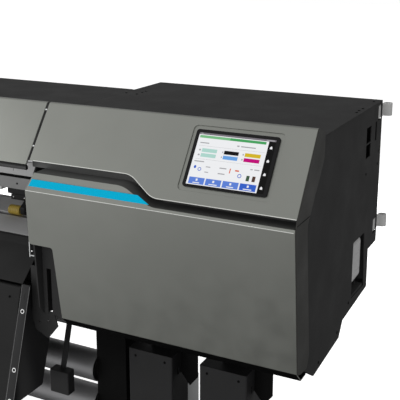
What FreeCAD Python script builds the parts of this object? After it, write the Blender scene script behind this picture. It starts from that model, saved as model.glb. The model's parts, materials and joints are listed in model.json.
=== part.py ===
import FreeCAD, Part

import math
import os

from FreeCAD import Placement, Rotation, Vector

# Wide roll printer with a cutting head, on a castered stand.
# Millimetres. X to the right, Y to the rear, Z up. The origin is the middle of the
# footprint, on the floor. "Ahead" distances are measured forwards from the rear face.

# --- driving dimensions -------------------------------------------------------------
HALF_WIDTH = 1528.0  # outer face of each end
REAR = 395.0  # Y of the rear face of the end housings
TOP_Z = 1520.0  # top covers
RIGHT_IN = 717.0  # inner edge of the right housing
LEFT_IN = -990.0  # inner edge of the left housing
COVER_GAP = 8.0  # gap at each end of the hinged front cover

LIP = (577.0, 1533.0)  # rear lip of the slanted front, as (ahead, Z)
RIDGE = (627.0, 1550.0)  # highest line of the machine
BREAK = (764.6, 1354.0)  # lower edge of the slanted front
COVER_EDGE = (740.0, 1389.0)  # lower edge of the hinged cover
LEDGE = (771.0, 1378.0)  # top edge of the fascia
CHAMFER = (775.6, 1325.0)  # bend line of the fascia
SKIRT = (732.4, 937.0)  # foot of the lower panel
SKIRT_LIP = (701.4, 905.6)
SKIRT_BACK = (664.0, 905.5)

STEP_HIGH = 1399.0  # lower edge of the slanted front, left of the bend
STEP_START = 1050.0  # X where the bend in the groove starts
STEP_END = 1130.0
STEP_ROUND = 75.0
FASCIA_IN = (45.0, 14.0, 4.0)  # the fascia's inner edge leans in: top, bend and notch
GROOVE = 21.0  # height of the dark groove
NOTCH_X = 802.0  # notch in the lower inner corner of the lower panel
NOTCH_Z = 1160.0

SHEET = 3.0
SLANT_SHEET = 6.0
END_CAP = 3.0

PLATEN_Z = 1125.0
PLATEN_FRONT = 628.0  # ahead distances
FEED_AHEAD = 480.0
FEED_RADIUS = 12.5
PINCH_RADIUS = 16.0
PINCH_WIDTH = 44.0
PINCH_COUNT = 9
PINCH_START = 118.0  # from the left housing to the first wheel
LIFT_AHEAD = 430.0
LIFT_Z = 1202.0
LIFT_RADIUS = 6.0
RUNNING = 0.05  # radial clearance of a shaft in its hole

BEAM_FRONT = 445.0
BEAM_DEPTH = 140.0
BEAM_LOW = 1215.0
BEAM_TOP = 1400.0
BED_AHEAD = (500.0, 250.0)
BED_Z = (935.0, 1060.0)

CARRIAGE_X = (960.0, 1260.0)
CUTTER_X = (-1400.0, -1300.0)
BELT_Z = 1406.0
BELT_RADIUS = 20.0
PULLEY_X = 1420.0

RIGHT_LEG_X = 1100.0
LEFT_LEG_X = -1250.0
COLUMN_MIDS = (-138.0, 112.0)  # the two columns of a stand leg, from its middle
COLUMN_HALF = 78.0
LEG_REACH = COLUMN_HALF - COLUMN_MIDS[0]
LEG_FRONT = 500.0
LEG_BACK = 300.0
LEG_TOP = 757.0
POST_MIDS = (-123.0, 127.0)
POST_HALF = 45.0
POST_AHEAD = (436.0, 340.0)
POST_WALL = 3.0
INNER_POST = (252.0, 365.0)  # black post that carries the cross tubes
INNER_POST_AHEAD = (460.0, 330.0)
INNER_POST_TOP = 866.0
TUBE_RADIUS = 50.0  # cross tubes between the legs
TUBE_Z = (624.0, 495.0)
BASE_WALL = 4.0
SENSOR_X = (668.0, 738.0)  # web sensor box under the right housing
SENSOR_Z = (614.0, 690.0)
POST_TOP = BED_Z[0]
BASE_Z = (100.0, 150.0)
BASE_FRONT = 790.0
BASE_BACK = 20.0
CASTER_RADIUS = 38.0
CASTER_AHEAD = (745.0, 65.0)
CASTER_OFFSET = 24.0

SCREEN_X = (1205.0, 1437.0)
SCREEN_S = (45.0, 204.0)  # along the slant, from BREAK
SCREEN_MARGIN = 11.0

TRAY_COUNT = 4
TRAY_PITCH = 90.0
TRAY_WIDTH = 82.0
TRAY_Z = (948.0, 1100.0)
TRAY_MID_X = -1258.0

TAKEUP = (650.0, 330.0)  # axis of the take-up shaft, as (ahead, Z)
SUPPLY = (90.0, 560.0)  # axis of the supply shaft
DANCER = (520.0, 320.0)  # pivot of the dancer bar
DANCER_BAR = (700.0, 180.0)
HINGE = (583.0, 1532.0)  # axis of the front cover's hinge, as (ahead, Z)
HINGE_COUNT = 4
HINGE_HALF = 40.0
SHAFT_RADIUS = (10.0, 16.0)  # take-up and supply shafts
CORE_RADIUS = 38.0  # fits the 76 mm bore of a media roll

HOOK_Z = (1465.0, 1096.0)  # foot of each rear hook
HOOK_HEIGHT = 40.0

NODES = {}


def ahead(distance):
    """Y of a point that lies this far ahead of the rear face."""
    return REAR - distance


# --- small geometry kit -------------------------------------------------------------
def on_x(x):
    return lambda a, b: Vector(x, a, b)


def on_y(y):
    return lambda a, b: Vector(a, y, b)


def on_z(z):
    return lambda a, b: Vector(a, b, z)


def corner(before, here, after, radius):
    """Tangent points and mid point of the arc that rounds one corner."""
    p = Vector(here[0], here[1], 0)
    a = Vector(before[0], before[1], 0) - p
    b = Vector(after[0], after[1], 0) - p
    a.normalize()
    b.normalize()
    half = a.getAngle(b) / 2
    reach = radius / math.tan(half)
    middle = a + b
    middle.normalize()
    centre = p + middle * (radius / math.sin(half))
    return p + a * reach, centre - middle * radius, p + b * reach


def edges_of(points, closed, place):
    """Straight edges with a tangent arc at each point (a, b, radius)."""
    count = len(points)
    pieces = []
    ends = []
    for i, point in enumerate(points):
        radius = point[2] if len(point) > 2 else 0
        inner = closed or 0 < i < count - 1
        if radius and inner:
            start, middle, stop = corner(points[i - 1], point, points[(i + 1) % count], radius)
            ends.append((start, stop))
            curve = [place(v.x, v.y) for v in (start, middle, stop)]
            pieces.append((i, Part.Arc(*curve).toShape()))
        else:
            v = Vector(point[0], point[1], 0)
            ends.append((v, v))
    arcs = dict(pieces)
    edges = []
    for i in range(count):
        if i in arcs:
            edges.append(arcs[i])
        if i == count - 1 and not closed:
            break
        start = ends[i][1]
        stop = ends[(i + 1) % count][0]
        if start.distanceToPoint(stop) > 1e-6:
            line = Part.LineSegment(place(start.x, start.y), place(stop.x, stop.y))
            edges.append(line.toShape())
    return edges


def face_of(points, place):
    wire = Part.Wire(edges_of(points, True, place))
    return Part.Face(wire)


def prism_x(points, x0, x1):
    return face_of(points, on_x(x0)).extrude(Vector(x1 - x0, 0, 0))


def prism_y(points, y0, y1):
    return face_of(points, on_y(y0)).extrude(Vector(0, y1 - y0, 0))


def prism_z(points, z0, z1):
    return face_of(points, on_z(z0)).extrude(Vector(0, 0, z1 - z0))


def offset_points(points, thickness):
    """The same open path moved to its left by the thickness, with mitred corners."""
    moved = []
    for i, point in enumerate(points):
        here = Vector(point[0], point[1], 0)
        normals = []
        for a, b in ((i - 1, i), (i, i + 1)):
            if a < 0 or b >= len(points):
                continue
            run = Vector(points[b][0] - points[a][0], points[b][1] - points[a][1], 0)
            run.normalize()
            normals.append(Vector(-run.y, run.x, 0))
        mean = normals[0] + normals[-1]
        mean.normalize()
        shift = mean * (thickness / mean.dot(normals[0]))
        radius = point[2] if len(point) > 2 else 0
        if radius and len(normals) == 2:
            turn = normals[0].cross(normals[1]).z
            radius = radius - thickness if turn > 0 else radius + thickness
        moved.append((here.x + shift.x, here.y + shift.y, max(radius, 0)))
    return moved


def band(points, thickness):
    """Closed outline of a bent sheet that follows an open path."""
    return list(points) + offset_points(points, thickness)[::-1]


def box(x0, x1, y0, y1, z0, z1):
    return Part.makeBox(x1 - x0, y1 - y0, z1 - z0, Vector(x0, y0, z0))


def rod(radius, start, end):
    """A cylinder between two points."""
    a = Vector(*start)
    run = Vector(*end) - a
    return Part.makeCylinder(radius, run.Length, a, run)


def tube(outer, inner, start, end):
    return rod(outer, start, end).cut(rod(inner, start, end))


def rounded_plate(x0, x1, a0, a1, radius):
    return [(x0, a0, radius), (x1, a0, radius), (x1, a1, radius), (x0, a1, radius)]


def section(points):
    """Turn (ahead, Z, radius) points into (Y, Z, radius) points."""
    return [(ahead(p[0]),) + tuple(p[1:]) for p in points]


def node(name, *shapes):
    solids = []
    for shape in shapes:
        solids.extend(shape.Solids)
    NODES.setdefault(name, []).extend(solids)


def slant():
    """Placement whose local X, Y and Z are across, up and out of the slanted front."""
    run = BREAK[0] - RIDGE[0]
    rise = RIDGE[1] - BREAK[1]
    angle = math.degrees(math.atan2(rise, run))
    return Placement(Vector(0, ahead(BREAK[0]), BREAK[1]), Rotation(Vector(1, 0, 0), angle))


def on_slant(shape):
    moved = shape.copy()
    moved.Placement = slant().multiply(moved.Placement)
    return moved


def step_line(drop, x0, x1):
    """Lower edge of the slanted front, with its bend, as seen from the front."""
    return [
        (x0, STEP_HIGH - drop),
        (STEP_START, STEP_HIGH - drop, STEP_ROUND),
        (STEP_END, BREAK[1] - drop, STEP_ROUND),
        (x1, BREAK[1] - drop),
    ]


# --- end housings -------------------------------------------------------------------
def slanted_profile(low):
    slope = (BREAK[0] - RIDGE[0]) / (RIDGE[1] - BREAK[1])
    foot = RIDGE[0] + (RIDGE[1] - low) * slope
    return [LIP, RIDGE + (9.0,), (foot, low)]


def skirt_profile():
    return [LEDGE, CHAMFER + (4.0,), SKIRT + (7.0,), SKIRT_LIP + (5.0,), SKIRT_BACK]


def under_profile():
    """Rear wall and stepped underside, from the top cover down and forwards."""
    return [
        (0.0, 1516.8), (0.0, 1056.0, 4.0), (93.0, 1057.0, 4.0), (92.0, 931.0, 4.0),
        (345.0, 921.0, 4.0), (377.0, 880.0, 4.0), (594.0, 869.0, 6.0), (651.0, 902.0, 5.0), (663.0, 905.0),
    ]


def end_cap_outline():
    return section([
        LIP, RIDGE + (9.0,), BREAK + (5.0,), (771.0, 1340.0), CHAMFER + (4.0,), SKIRT + (7.0,),
        (708.0, 929.0, 6.0), (664.0, 924.0, 8.0), (649.0, 955.5, 30.0), (694.0, 1317.0, 40.0),
        (579.0, 1462.0, 40.0),
    ])


def side_outline():
    return section([
        (0.0, 1517.0), (0.0, 1056.0), (93.0, 1057.0), (92.0, 931.0), (345.0, 921.0), (377.0, 880.0),
        (594.0, 869.0), (602.0, 870.0), (651.0, 902.0), (660.0, 909.0), (712.0, 948.0),
        (750.0, 1322.0), (614.0, 1517.0),
    ])


def slanted_panel(x0, x1, low):
    path = section(slanted_profile(low))
    return prism_x(band(path, SLANT_SHEET), x0, x1)


def right_upper_panel():
    x1 = HALF_WIDTH - END_CAP
    panel = slanted_panel(RIGHT_IN, x1, BREAK[1])
    below = step_line(0, RIGHT_IN - 1, x1 + 1)
    below += [(x1 + 1, BREAK[1] - 60), (RIGHT_IN - 1, BREAK[1] - 60)]
    panel = panel.cut(prism_y(below, ahead(900), ahead(500)))
    m = SCREEN_MARGIN
    pocket = rounded_plate(SCREEN_X[0] - m, SCREEN_X[1] + m, SCREEN_S[0] - m, SCREEN_S[1] + m, 12.0)
    panel = panel.cut(on_slant(prism_z(pocket, -3.0, 8.0)))
    node("right_upper_panel", panel)
    glass = rounded_plate(SCREEN_X[0], SCREEN_X[1], SCREEN_S[0], SCREEN_S[1], 8.0)
    node("touch_screen", on_slant(prism_z(glass, -3.0, 1.5)))


def right_lower_panel():
    x1 = HALF_WIDTH - END_CAP
    skirt = prism_x(band(section(skirt_profile()), SHEET), RIGHT_IN, x1)
    top, bend, notch = [RIGHT_IN + inset for inset in FASCIA_IN]
    outline = step_line(GROOVE, top, x1)
    outline += [
        (x1, 880.0), (NOTCH_X + 7, 880.0), (NOTCH_X, NOTCH_Z, 8.0), (notch, NOTCH_Z, 8.0),
        (bend, CHAMFER[1], 10.0),
    ]
    skirt = skirt.common(prism_y(outline, ahead(900), ahead(500)))
    inner = x1 - 4
    ledge = band(step_line(GROOVE, top, inner), -SHEET)
    ledge = prism_y(ledge, ahead(LEDGE[0] - 1), ahead(716.0))
    wall = step_line(GROOVE, RIGHT_IN, inner)
    wall += [(x, z + GROOVE, r) for x, z, r in [(p + (0,))[:3] for p in wall][::-1]]
    wall = prism_y(wall, ahead(719.0), ahead(716.0))
    node("right_lower_panel", skirt.fuse(ledge).fuse(wall).removeSplitter())
    stripe = section([(773.0 + 0.2, 1360.0), (774.8, 1339.0)])
    stripe = prism_x(band(stripe, -1.0), RIGHT_IN, 1180.0)
    ends = [(RIGHT_IN + 40, 1361.0), (1094.0, 1361.0), (1131.0, 1338.0), (RIGHT_IN + 26, 1338.0)]
    stripe = stripe.common(prism_y(ends, ahead(900), ahead(700)))
    node("accent_stripe", stripe)


def left_front():
    x0 = -HALF_WIDTH + END_CAP
    node("left_front_panels", slanted_panel(x0, LEFT_IN, STEP_HIGH))
    skirt = prism_x(band(section(skirt_profile()), SHEET), x0, LEFT_IN)
    top, bend, notch = [LEFT_IN - inset for inset in FASCIA_IN]
    outline = [
        (x0, STEP_HIGH - GROOVE), (top, STEP_HIGH - GROOVE), (bend, CHAMFER[1], 10.0),
        (notch, NOTCH_Z, 8.0), (LEFT_IN - 85, NOTCH_Z, 8.0), (LEFT_IN - 92, 880.0), (x0, 880.0),
    ]
    skirt = skirt.common(prism_y(outline, ahead(900), ahead(500)))
    inner = x0 + 4
    ledge_z = STEP_HIGH - GROOVE
    ledge = box(inner, top, ahead(LEDGE[0] - 1), ahead(716.0), ledge_z - SHEET, ledge_z)
    wall = box(inner, LEFT_IN, ahead(719.0), ahead(716.0), ledge_z - SHEET, ledge_z + GROOVE)
    half = TRAY_COUNT * TRAY_PITCH / 2 + 3
    window = rounded_plate(TRAY_MID_X - half, TRAY_MID_X + half, TRAY_Z[0] - 4, TRAY_Z[1] + 5, 8.0)
    skirt = skirt.fuse(ledge).fuse(wall).cut(prism_y(window, ahead(800), ahead(721)))
    node("left_front_panels", skirt.removeSplitter())


def housing_shells():
    """Rear and underside sheets, with openings for the stand's posts."""
    profile = band(section(under_profile()), -SHEET)
    right = prism_x(profile, RIGHT_IN + 10, HALF_WIDTH - 6)
    left = prism_x(profile, -HALF_WIDTH + 6, LEFT_IN - 10)
    for middle in POST_MIDS:
        hole = post(middle, 4.0, 800.0, POST_TOP + 40)
        right = right.cut(on_right(hole))
        left = left.cut(on_left(hole))
    right = right.cut(box(1270, 1340, REAR - 20, REAR + 5, 1090, 1150))
    for low in HOOK_Z:
        notch = box(HALF_WIDTH - 22, HALF_WIDTH, REAR - 20, REAR + 5, low - 4, low + HOOK_HEIGHT + 4)
        right = right.cut(notch)
        left = left.cut(notch.mirror(Vector(0, 0, 0), Vector(1, 0, 0)))
    node("back_panels", right, left)


def end_caps():
    right = prism_x(end_cap_outline(), HALF_WIDTH - END_CAP, HALF_WIDTH)
    left = prism_x(end_cap_outline(), -HALF_WIDTH, -HALF_WIDTH + END_CAP)
    node("end_caps", right, left)


def side_panels():
    x1 = HALF_WIDTH - END_CAP
    panel = prism_x(side_outline(), x1 - SHEET, x1)
    window = section([
        (264.0, 1133.0, 4.0), (144.0, 1129.0, 4.0), (127.0, 948.0, 4.0), (265.0, 956.0, 4.0),
    ])
    cuts = [prism_x(window, x1 - 20, x1 + 5)]
    for low, high in ((1412.0, 1461.0), (1367.0, 1408.0)):
        cuts.append(box(x1 - 20, x1 + 5, ahead(172), ahead(121), low, high))
    cuts.append(box(x1 - 20, x1 + 5, ahead(74), ahead(55), 1404, 1463))
    for low in HOOK_Z:
        cuts.append(box(x1 - 20, x1 + 5, ahead(46), ahead(6), low - 4, low + HOOK_HEIGHT + 4))
    for cut in cuts:
        panel = panel.cut(cut)
    pocket = box(x1 - 150, x1 - SHEET, ahead(284), ahead(112), 945, 1142)
    hollow = box(x1 - 147, x1 + 5, ahead(281), ahead(115), 960, 1139)
    shell = pocket.cut(hollow).cut(box(x1 - 160, x1, ahead(112) - 25, REAR, 900, 962))
    for y in (ahead(250), ahead(160)):
        shell = shell.fuse(box(x1 - 147, x1 - 20, y, y + 6, 960, 984.7))
    node("right_side_panel", panel, shell)
    node("left_side_panel", prism_x(side_outline(), -x1, -x1 + SHEET))
    bottle = box(x1 - 138, x1 - 6, ahead(261), ahead(145), 985, 1127)
    bottle = bottle.makeFillet(22.0, bottle.Edges)
    node("drain_bottle", bottle)


def top_covers():
    x1 = HALF_WIDTH - END_CAP
    for x0, x2 in ((RIGHT_IN + 10, x1), (-x1, LEFT_IN - 10)):
        plate = box(x0, x2, ahead(600), REAR, TOP_Z - SHEET, TOP_Z)
        node("end_top_covers", plate)
    path = section([(606.0, TOP_Z), (172.0, TOP_Z, 5.0), (172.0, 1262.0, 4.0), (190.0, 1258.0)])
    cover = prism_x(band(path, -SHEET), LEFT_IN + 0.5, RIGHT_IN - 0.5)
    deck = box(LEFT_IN - 9.5, RIGHT_IN + 9.5, ahead(606), ahead(180), TOP_Z - SHEET, TOP_Z)
    cover = cover.fuse(deck)
    y, z = ahead(HINGE[0]), HINGE[1]
    for x in hinge_places():
        for side in (-1, 1):
            near, far = sorted((x + side * (HINGE_HALF + 0.5), x + side * (HINGE_HALF + 14)))
            cover = cover.fuse(box(near, far, y - 1, y + 1, TOP_Z, z))
            cover = cover.fuse(rod(1.5, (near, y, z), (far, y, z)))
    node("centre_top_cover", cover.removeSplitter())


def rear_hooks():
    """Half-round catches at the rear corners of the end panels."""
    for side in (1, -1):
        for low in HOOK_Z:
            high = low + HOOK_HEIGHT
            x = side * (HALF_WIDTH + 4)
            near, far = sorted((x - side * 16.4, x - side * 10.4))
            plate = box(near, far, REAR - 40, REAR + 30, low, high)
            near, far = sorted((x, x - side * 16.4))
            web = box(near, far, REAR + 26, REAR + 30, low, high)
            knuckle = tube(14.0, 9.0, (x, REAR + 41, low), (x, REAR + 41, high))
            node("rear_hooks", plate.fuse(web).fuse(knuckle).removeSplitter())


def cover_screws():
    spots = [
        (740, 251), (783, 256), (782, 220), (781, 193),
        (1510, 241), (1508, 209), (1510, 175), (1508, 44),
    ]
    for x, d in spots:
        head = Part.makeCone(4.5, 3.0, 1.8, Vector(x, ahead(d), TOP_Z))
        node("cover_screws", head)
        mirrored = -x if x > 1000 else LEFT_IN + RIGHT_IN - x
        node("cover_screws", Part.makeCone(4.5, 3.0, 1.8, Vector(mirrored, ahead(d), TOP_Z)))
    sides = [(31, 1322), (161, 1318), (291, 954), (396, 905), (560, 890)]
    for d, z in sides:
        for side in (1, -1):
            base = Vector(side * (HALF_WIDTH - END_CAP), ahead(d), z)
            node("cover_screws", Part.makeCone(4.5, 3.0, 1.8, base, Vector(side, 0, 0)))


# --- inner frame --------------------------------------------------------------------
def inner_plate(x0, x1, open_front):
    outline = section([
        (12.0, 1505.0), (12.0, 1068.0), (106.0, 1068.0), (106.0, 943.0), (350.0, 934.0), (384.0, 893.0),
        (590.0, 884.0), (640.0, 913.0), (700.0, 922.0), (722.0, 950.0), (745.0, 1318.0), (622.0, 1505.0),
    ])
    if not open_front:
        outline = section([
            (240.0, 1480.0), (240.0, BED_Z[1]), (500.0, BED_Z[1]), (500.0, 1096.0),
            (435.0, 1096.0), (435.0, 1480.0),
        ])
    plate = prism_x(outline, x0, x1)
    passage = section([
        (668.0, 1122.0, 10.0), (440.0, 1122.0), (440.0, 1450.0, 10.0), (668.0, 1450.0, 10.0),
    ])
    cuts = [
        prism_x(passage, x0 - 1, x1 + 1),
        box(x0 - 1, x1 + 1, ahead(BEAM_FRONT), ahead(BEAM_FRONT - BEAM_DEPTH), BEAM_LOW, BEAM_TOP),
        box(x0 - 1, x1 + 1, ahead(BED_AHEAD[0]), ahead(BED_AHEAD[1]), BED_Z[0], BED_Z[1]),
        box(x0 - 1, x1 + 1, ahead(440), ahead(390), BEAM_TOP, BEAM_TOP + 30),
    ]
    if open_front:
        y = ahead(FEED_AHEAD)
        cuts.append(rod(FEED_RADIUS - 0.5 + RUNNING, (x0 - 1, y, feed_z()), (x1 + 1, y, feed_z())))
    for cut in cuts:
        plate = plate.cut(cut)
    return plate


def feed_z():
    return PLATEN_Z - FEED_RADIUS


def side_frames():
    node("side_frames", inner_plate(RIGHT_IN, RIGHT_IN + 5, True).fuse(notch_plate()).removeSplitter())
    node("side_frames", inner_plate(LEFT_IN - 5, LEFT_IN, True))
    node("side_frames", inner_plate(1335.0, 1340.0, False))
    node("side_frames", inner_plate(-1340.0, -1335.0, False))


def notch_plate():
    """Slotted plate seen through the notch, with a small hanger below it."""
    flange = [
        (677.0, 925.0), (677.0, 1068.0, 4.0), (RIGHT_IN + 5, 1070.0), (RIGHT_IN + 5, 1150.0),
        (NOTCH_X + 20, 1150.0), (NOTCH_X + 20, 925.0),
    ]
    flange = prism_y(flange, ahead(702), ahead(699))
    slot = box(735, 751, ahead(710), ahead(690), 918, 1068)
    hanger = [
        (672.0, 930.0), (752.0, 930.0), (766.0, 888.0), (728.0, 842.0), (684.0, 862.0),
        (672.0, 894.0),
    ]
    hole = rod(4.0, (700, ahead(710), 852), (700, ahead(690), 852))
    hanger = prism_y(hanger, ahead(699), ahead(696)).cut(hole)
    return flange.cut(slot).fuse(hanger)


def bed_and_beam():
    end = 1350.0
    front, back = ahead(BED_AHEAD[0]), ahead(BED_AHEAD[1])
    low, high = BED_Z
    bed = box(-end, end, front, back, low, high)
    hollow = box(-end - 1, end + 1, front + SHEET, back - SHEET, low + SHEET, high - SHEET)
    node("bed_frame", bed.cut(hollow))
    end = 1470.0
    back = ahead(BEAM_FRONT - BEAM_DEPTH)
    beam = box(-end, end, ahead(BEAM_FRONT), back, BEAM_LOW, BEAM_TOP)
    hollow = box(-end - 1, end + 1, ahead(BEAM_FRONT) + 4, back - 4, BEAM_LOW + 4, BEAM_TOP - 4)
    node("rail_beam", beam.cut(hollow))
    skirt = section([
        (BEAM_FRONT, 1302.0), (448.5, 1298.0, 2.0), (452.0, 1264.0), (450.0, 1252.0), (447.6, 1250.0),
        (447.6, 1244.0), (451.5, 1243.0), (451.5, 1203.0), (446.0, 1203.0), (BEAM_FRONT, 1216.0),
    ])
    node("rail_beam", prism_x(skirt, LEFT_IN + 4, RIGHT_IN - 4))
    rail = section([
        (BEAM_FRONT, 1320.0), (BEAM_FRONT + 6, 1320.0), (BEAM_FRONT + 9, 1326.0), (BEAM_FRONT + 9, 1334.0),
        (BEAM_FRONT + 6, 1340.0), (BEAM_FRONT, 1340.0),
    ])
    node("guide_rail", prism_x(rail, -1455.0, 1455.0))


def platen():
    x0 = LEFT_IN + 4
    x1 = RIGHT_IN - 4
    low = PLATEN_Z - 22
    slot_front = FEED_AHEAD + FEED_RADIUS + 1.5
    slot_back = FEED_AHEAD - FEED_RADIUS - 1.5
    front = section([
        (slot_front, PLATEN_Z), (PLATEN_FRONT, PLATEN_Z, 4.0), (PLATEN_FRONT + 2, low),
        (PLATEN_FRONT - 4, low), (PLATEN_FRONT - 4, PLATEN_Z - 5), (slot_front, PLATEN_Z - 5),
    ])
    back = section([
        (slot_back, PLATEN_Z), (slot_back, PLATEN_Z - 5), (335.0, PLATEN_Z - 5), (335.0, PLATEN_Z),
    ])
    front = prism_x(front, x0, x1)
    back = prism_x(back, x0, x1)
    ribs = []
    count = 7
    for i in range(count):
        x = x0 + 60 + i * (x1 - x0 - 120) / (count - 1)
        rib = section([
            (PLATEN_FRONT - 6, PLATEN_Z - 5), (PLATEN_FRONT - 6, PLATEN_Z - 20), (501.0, BED_Z[1] - 60),
            (500.0, BED_Z[1]), (340.0, BED_Z[1]), (340.0, PLATEN_Z - 5),
        ])
        rib = prism_x(rib, x - 3, x + 3)
        gap = box(x - 4, x + 4, ahead(slot_front), ahead(slot_back), PLATEN_Z - 30, PLATEN_Z)
        ribs.append(rib.cut(gap))
    body = front.fuse(back)
    for rib in ribs:
        body = body.fuse(rib)
    node("platen", body.removeSplitter())
    path = section([
        (PLATEN_FRONT + 4, PLATEN_Z - 4), (PLATEN_FRONT + 20, PLATEN_Z - 22, 40.0), (736.0, 1020.0),
    ])
    node("media_aprons", prism_x(band(path, SHEET), x0, x1 - 41))
    path = section([(334.0, PLATEN_Z - 0.5), (270.0, 1106.0, 60.0), (120.0, 1010.0, 60.0), (96.0, 930.0)])
    node("media_aprons", prism_x(band(path, -SHEET), x0 + 36, x1 - 20))


def dryer():
    """Afterheater below the platen: a hollow duct with a sloping face and two end plates."""
    x0 = LEFT_IN + 20
    x1 = 665.0
    face = [(737.0, 1010.0, 12.0), (838.0, 664.0, 10.0), (700.0, 664.0), (640.0, 850.0), (660.0, 1000.0)]
    body = prism_x(section(face), x0, x1)
    hollow = [(730.0, 1003.0, 6.0), (828.0, 670.0, 6.0), (706.0, 670.0), (646.0, 850.0), (666.0, 994.0)]
    body = body.cut(prism_x(section(hollow), x0 + 4, x1 - 4))
    slots = []
    for i in range(24):
        x = x0 + 60 + i * (x1 - x0 - 120) / 23
        slots.append(box(x - 20, x + 20, ahead(660), ahead(600), 900, 906))
    for slot in slots:
        body = body.cut(slot)
    node("dryer_duct", body)
    plate = [
        (733.0, 1017.0, 3.0), (845.0, 656.0), (663.0, 656.0, 10.0), (601.0, 843.0, 20.0),
        (664.0, 930.0, 10.0), (722.0, 1017.0),
    ]
    for low, high in ((x1, x1 + 3), (x0 - 3, x0)):
        node("dryer_end_plates", prism_x(section(plate), low, high))
    lip = section([(733.0, 1017.0), (845.0, 656.0), (842.0, 656.0), (730.0, 1017.0)])
    node("dryer_end_plates", prism_x(lip, x1 + 3, x1 + 32), prism_x(lip, x0 - 32, x0 - 3))
    for x in (-800.0, -160.0, 480.0):
        arm = section([(700.0, 990.0), (700.0, 960.0), (500.0, 945.0), (500.0, 1040.0)])
        arm = prism_x(arm, x - 4, x + 4).cut(prism_x(section(face), x - 5, x + 5))
        node("dryer_end_plates", arm)


# --- carriages and drive ------------------------------------------------------------
def shoe(x0, x1):
    """Runner that embraces the guide rail with a small gap."""
    block = box(x0, x1, ahead(470), ahead(BEAM_FRONT + 1), 1308, 1352)
    rail = section([
        (BEAM_FRONT - 1, 1319.0), (BEAM_FRONT + 7, 1319.0), (BEAM_FRONT + 10, 1325.0),
        (BEAM_FRONT + 10, 1335.0), (BEAM_FRONT + 7, 1341.0), (BEAM_FRONT - 1, 1341.0),
    ])
    return block.cut(prism_x(rail, x0 - 1, x1 + 1))


def print_carriage():
    x0, x1 = CARRIAGE_X
    body = box(x0, x1, ahead(640), ahead(470), 1160, 1400)
    body = body.cut(box(x0 - 1, x1 + 1, ahead(512), ahead(460), 1150, 1215))
    upright = [e for e in body.Edges if abs(e.tangentAt(e.FirstParameter).z) > 0.9]
    front = [e for e in upright if e.CenterOfMass.y < ahead(600)]
    body = body.makeFillet(14.0, front)
    wall = 4.0
    body = body.cut(box(x0 + wall, x1 - wall, ahead(640 - wall), ahead(516), 1160 + wall, 1400 - wall))
    body = body.cut(box(x0 + 200, x0 + 270, ahead(600), ahead(560), 1390, 1401))
    arm = box(x0 + 100, x1 - 100, ahead(500), ahead(442), 1404, 1408)
    arm = arm.fuse(box(x0 + 100, x1 - 100, ahead(500), ahead(480), 1400, 1408))
    clamp = box(x0 + 120, x1 - 120, ahead(446), ahead(442), 1404, 1418)
    body = body.fuse(shoe(x0 + 20, x1 - 20)).fuse(arm).fuse(clamp)
    node("print_carriage", body.removeSplitter())
    for i in range(3):
        x = x0 + 45 + i * 75
        head = box(x, x + 60, ahead(625), ahead(514), 1132, 1160)
        nozzle = box(x + 6, x + 54, ahead(615), ahead(520), 1129, 1132)
        node("print_heads", head.fuse(nozzle))


def cutter_carriage():
    x0, x1 = CUTTER_X
    body = box(x0, x1, ahead(560), ahead(470), 1216, 1380)
    body = body.fuse(shoe(x0 + 10, x1 - 10))
    socket = box(x0 + 25, x1 - 25, ahead(620), ahead(560), 1215, 1320)
    bore = rod(14.0 + RUNNING, (0.5 * (x0 + x1), ahead(592), 1200), (0.5 * (x0 + x1), ahead(592), 1330))
    node("cutter_carriage", body.fuse(socket).cut(bore).removeSplitter())
    x = 0.5 * (x0 + x1)
    y = ahead(592)
    holder = rod(14.0, (x, y, 1150), (x, y, 1335))
    holder = holder.fuse(rod(17.0, (x, y, 1335), (x, y, 1350)))
    holder = holder.fuse(Part.makeCone(2.5, 14.0, 12.0, Vector(x, y, 1138)))
    node("blade_holder", holder.fuse(rod(1.0, (x, y, 1134), (x, y, 1140))))


def belt_drive():
    y = ahead(BEAM_FRONT - 25)
    z0 = BELT_Z
    z1 = BELT_Z + 10

    def loop(radius):
        left = Vector(-PULLEY_X, y, z0)
        right = Vector(PULLEY_X, y, z0)
        slab = box(-PULLEY_X, PULLEY_X, y - radius, y + radius, z0, z1)
        for centre in (left, right):
            slab = slab.fuse(Part.makeCylinder(radius, z1 - z0, centre))
        return slab.removeSplitter()

    node("timing_belt", loop(BELT_RADIUS + 1.5).cut(loop(BELT_RADIUS)))
    for name, x in (("drive_pulley", PULLEY_X), ("idler_pulley", -PULLEY_X)):
        wheel = rod(BELT_RADIUS - RUNNING, (x, y, z0), (x, y, z1))
        rims = rod(BELT_RADIUS + 3, (x, y, z0 - 1.5), (x, y, z0 - 0.2))
        rims = rims.fuse(rod(BELT_RADIUS + 3, (x, y, z1 + 0.2), (x, y, z1 + 1.5)))
        hub = rod(9.0, (x, y, z0 - 3.0), (x, y, z1 + 3.0))
        bore = rod(4.0 + RUNNING, (x, y, BEAM_TOP), (x, y, z1 + 20))
        node(name, wheel.fuse(rims).fuse(hub).cut(bore).removeSplitter())
        node("guide_rail", rod(4.0, (x, y, BEAM_TOP), (x, y, z1 + 6)))
    x = PULLEY_X
    motor = box(x - 32, x + 32, y - 32, y + 32, z1 + 8, 1500)
    upright = [e for e in motor.Edges if abs(e.tangentAt(e.FirstParameter).z) > 0.9]
    motor = motor.makeFillet(6.0, upright)
    foot = box(x - 32, x + 32, y + 24, y + 32, BEAM_TOP, z1 + 8)
    node("drive_motors", motor.fuse(foot))
    fy = ahead(FEED_AHEAD)
    feed = rod(30.0, (760.0, fy, feed_z()), (850.0, fy, feed_z()))
    feed = feed.fuse(box(752, 760, fy - 34, fy + 34, BED_Z[1], 1147))
    feed = feed.cut(rod(FEED_RADIUS - 0.5 + RUNNING, (700, fy, feed_z()), (765, fy, feed_z())))
    node("drive_motors", feed)


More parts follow.
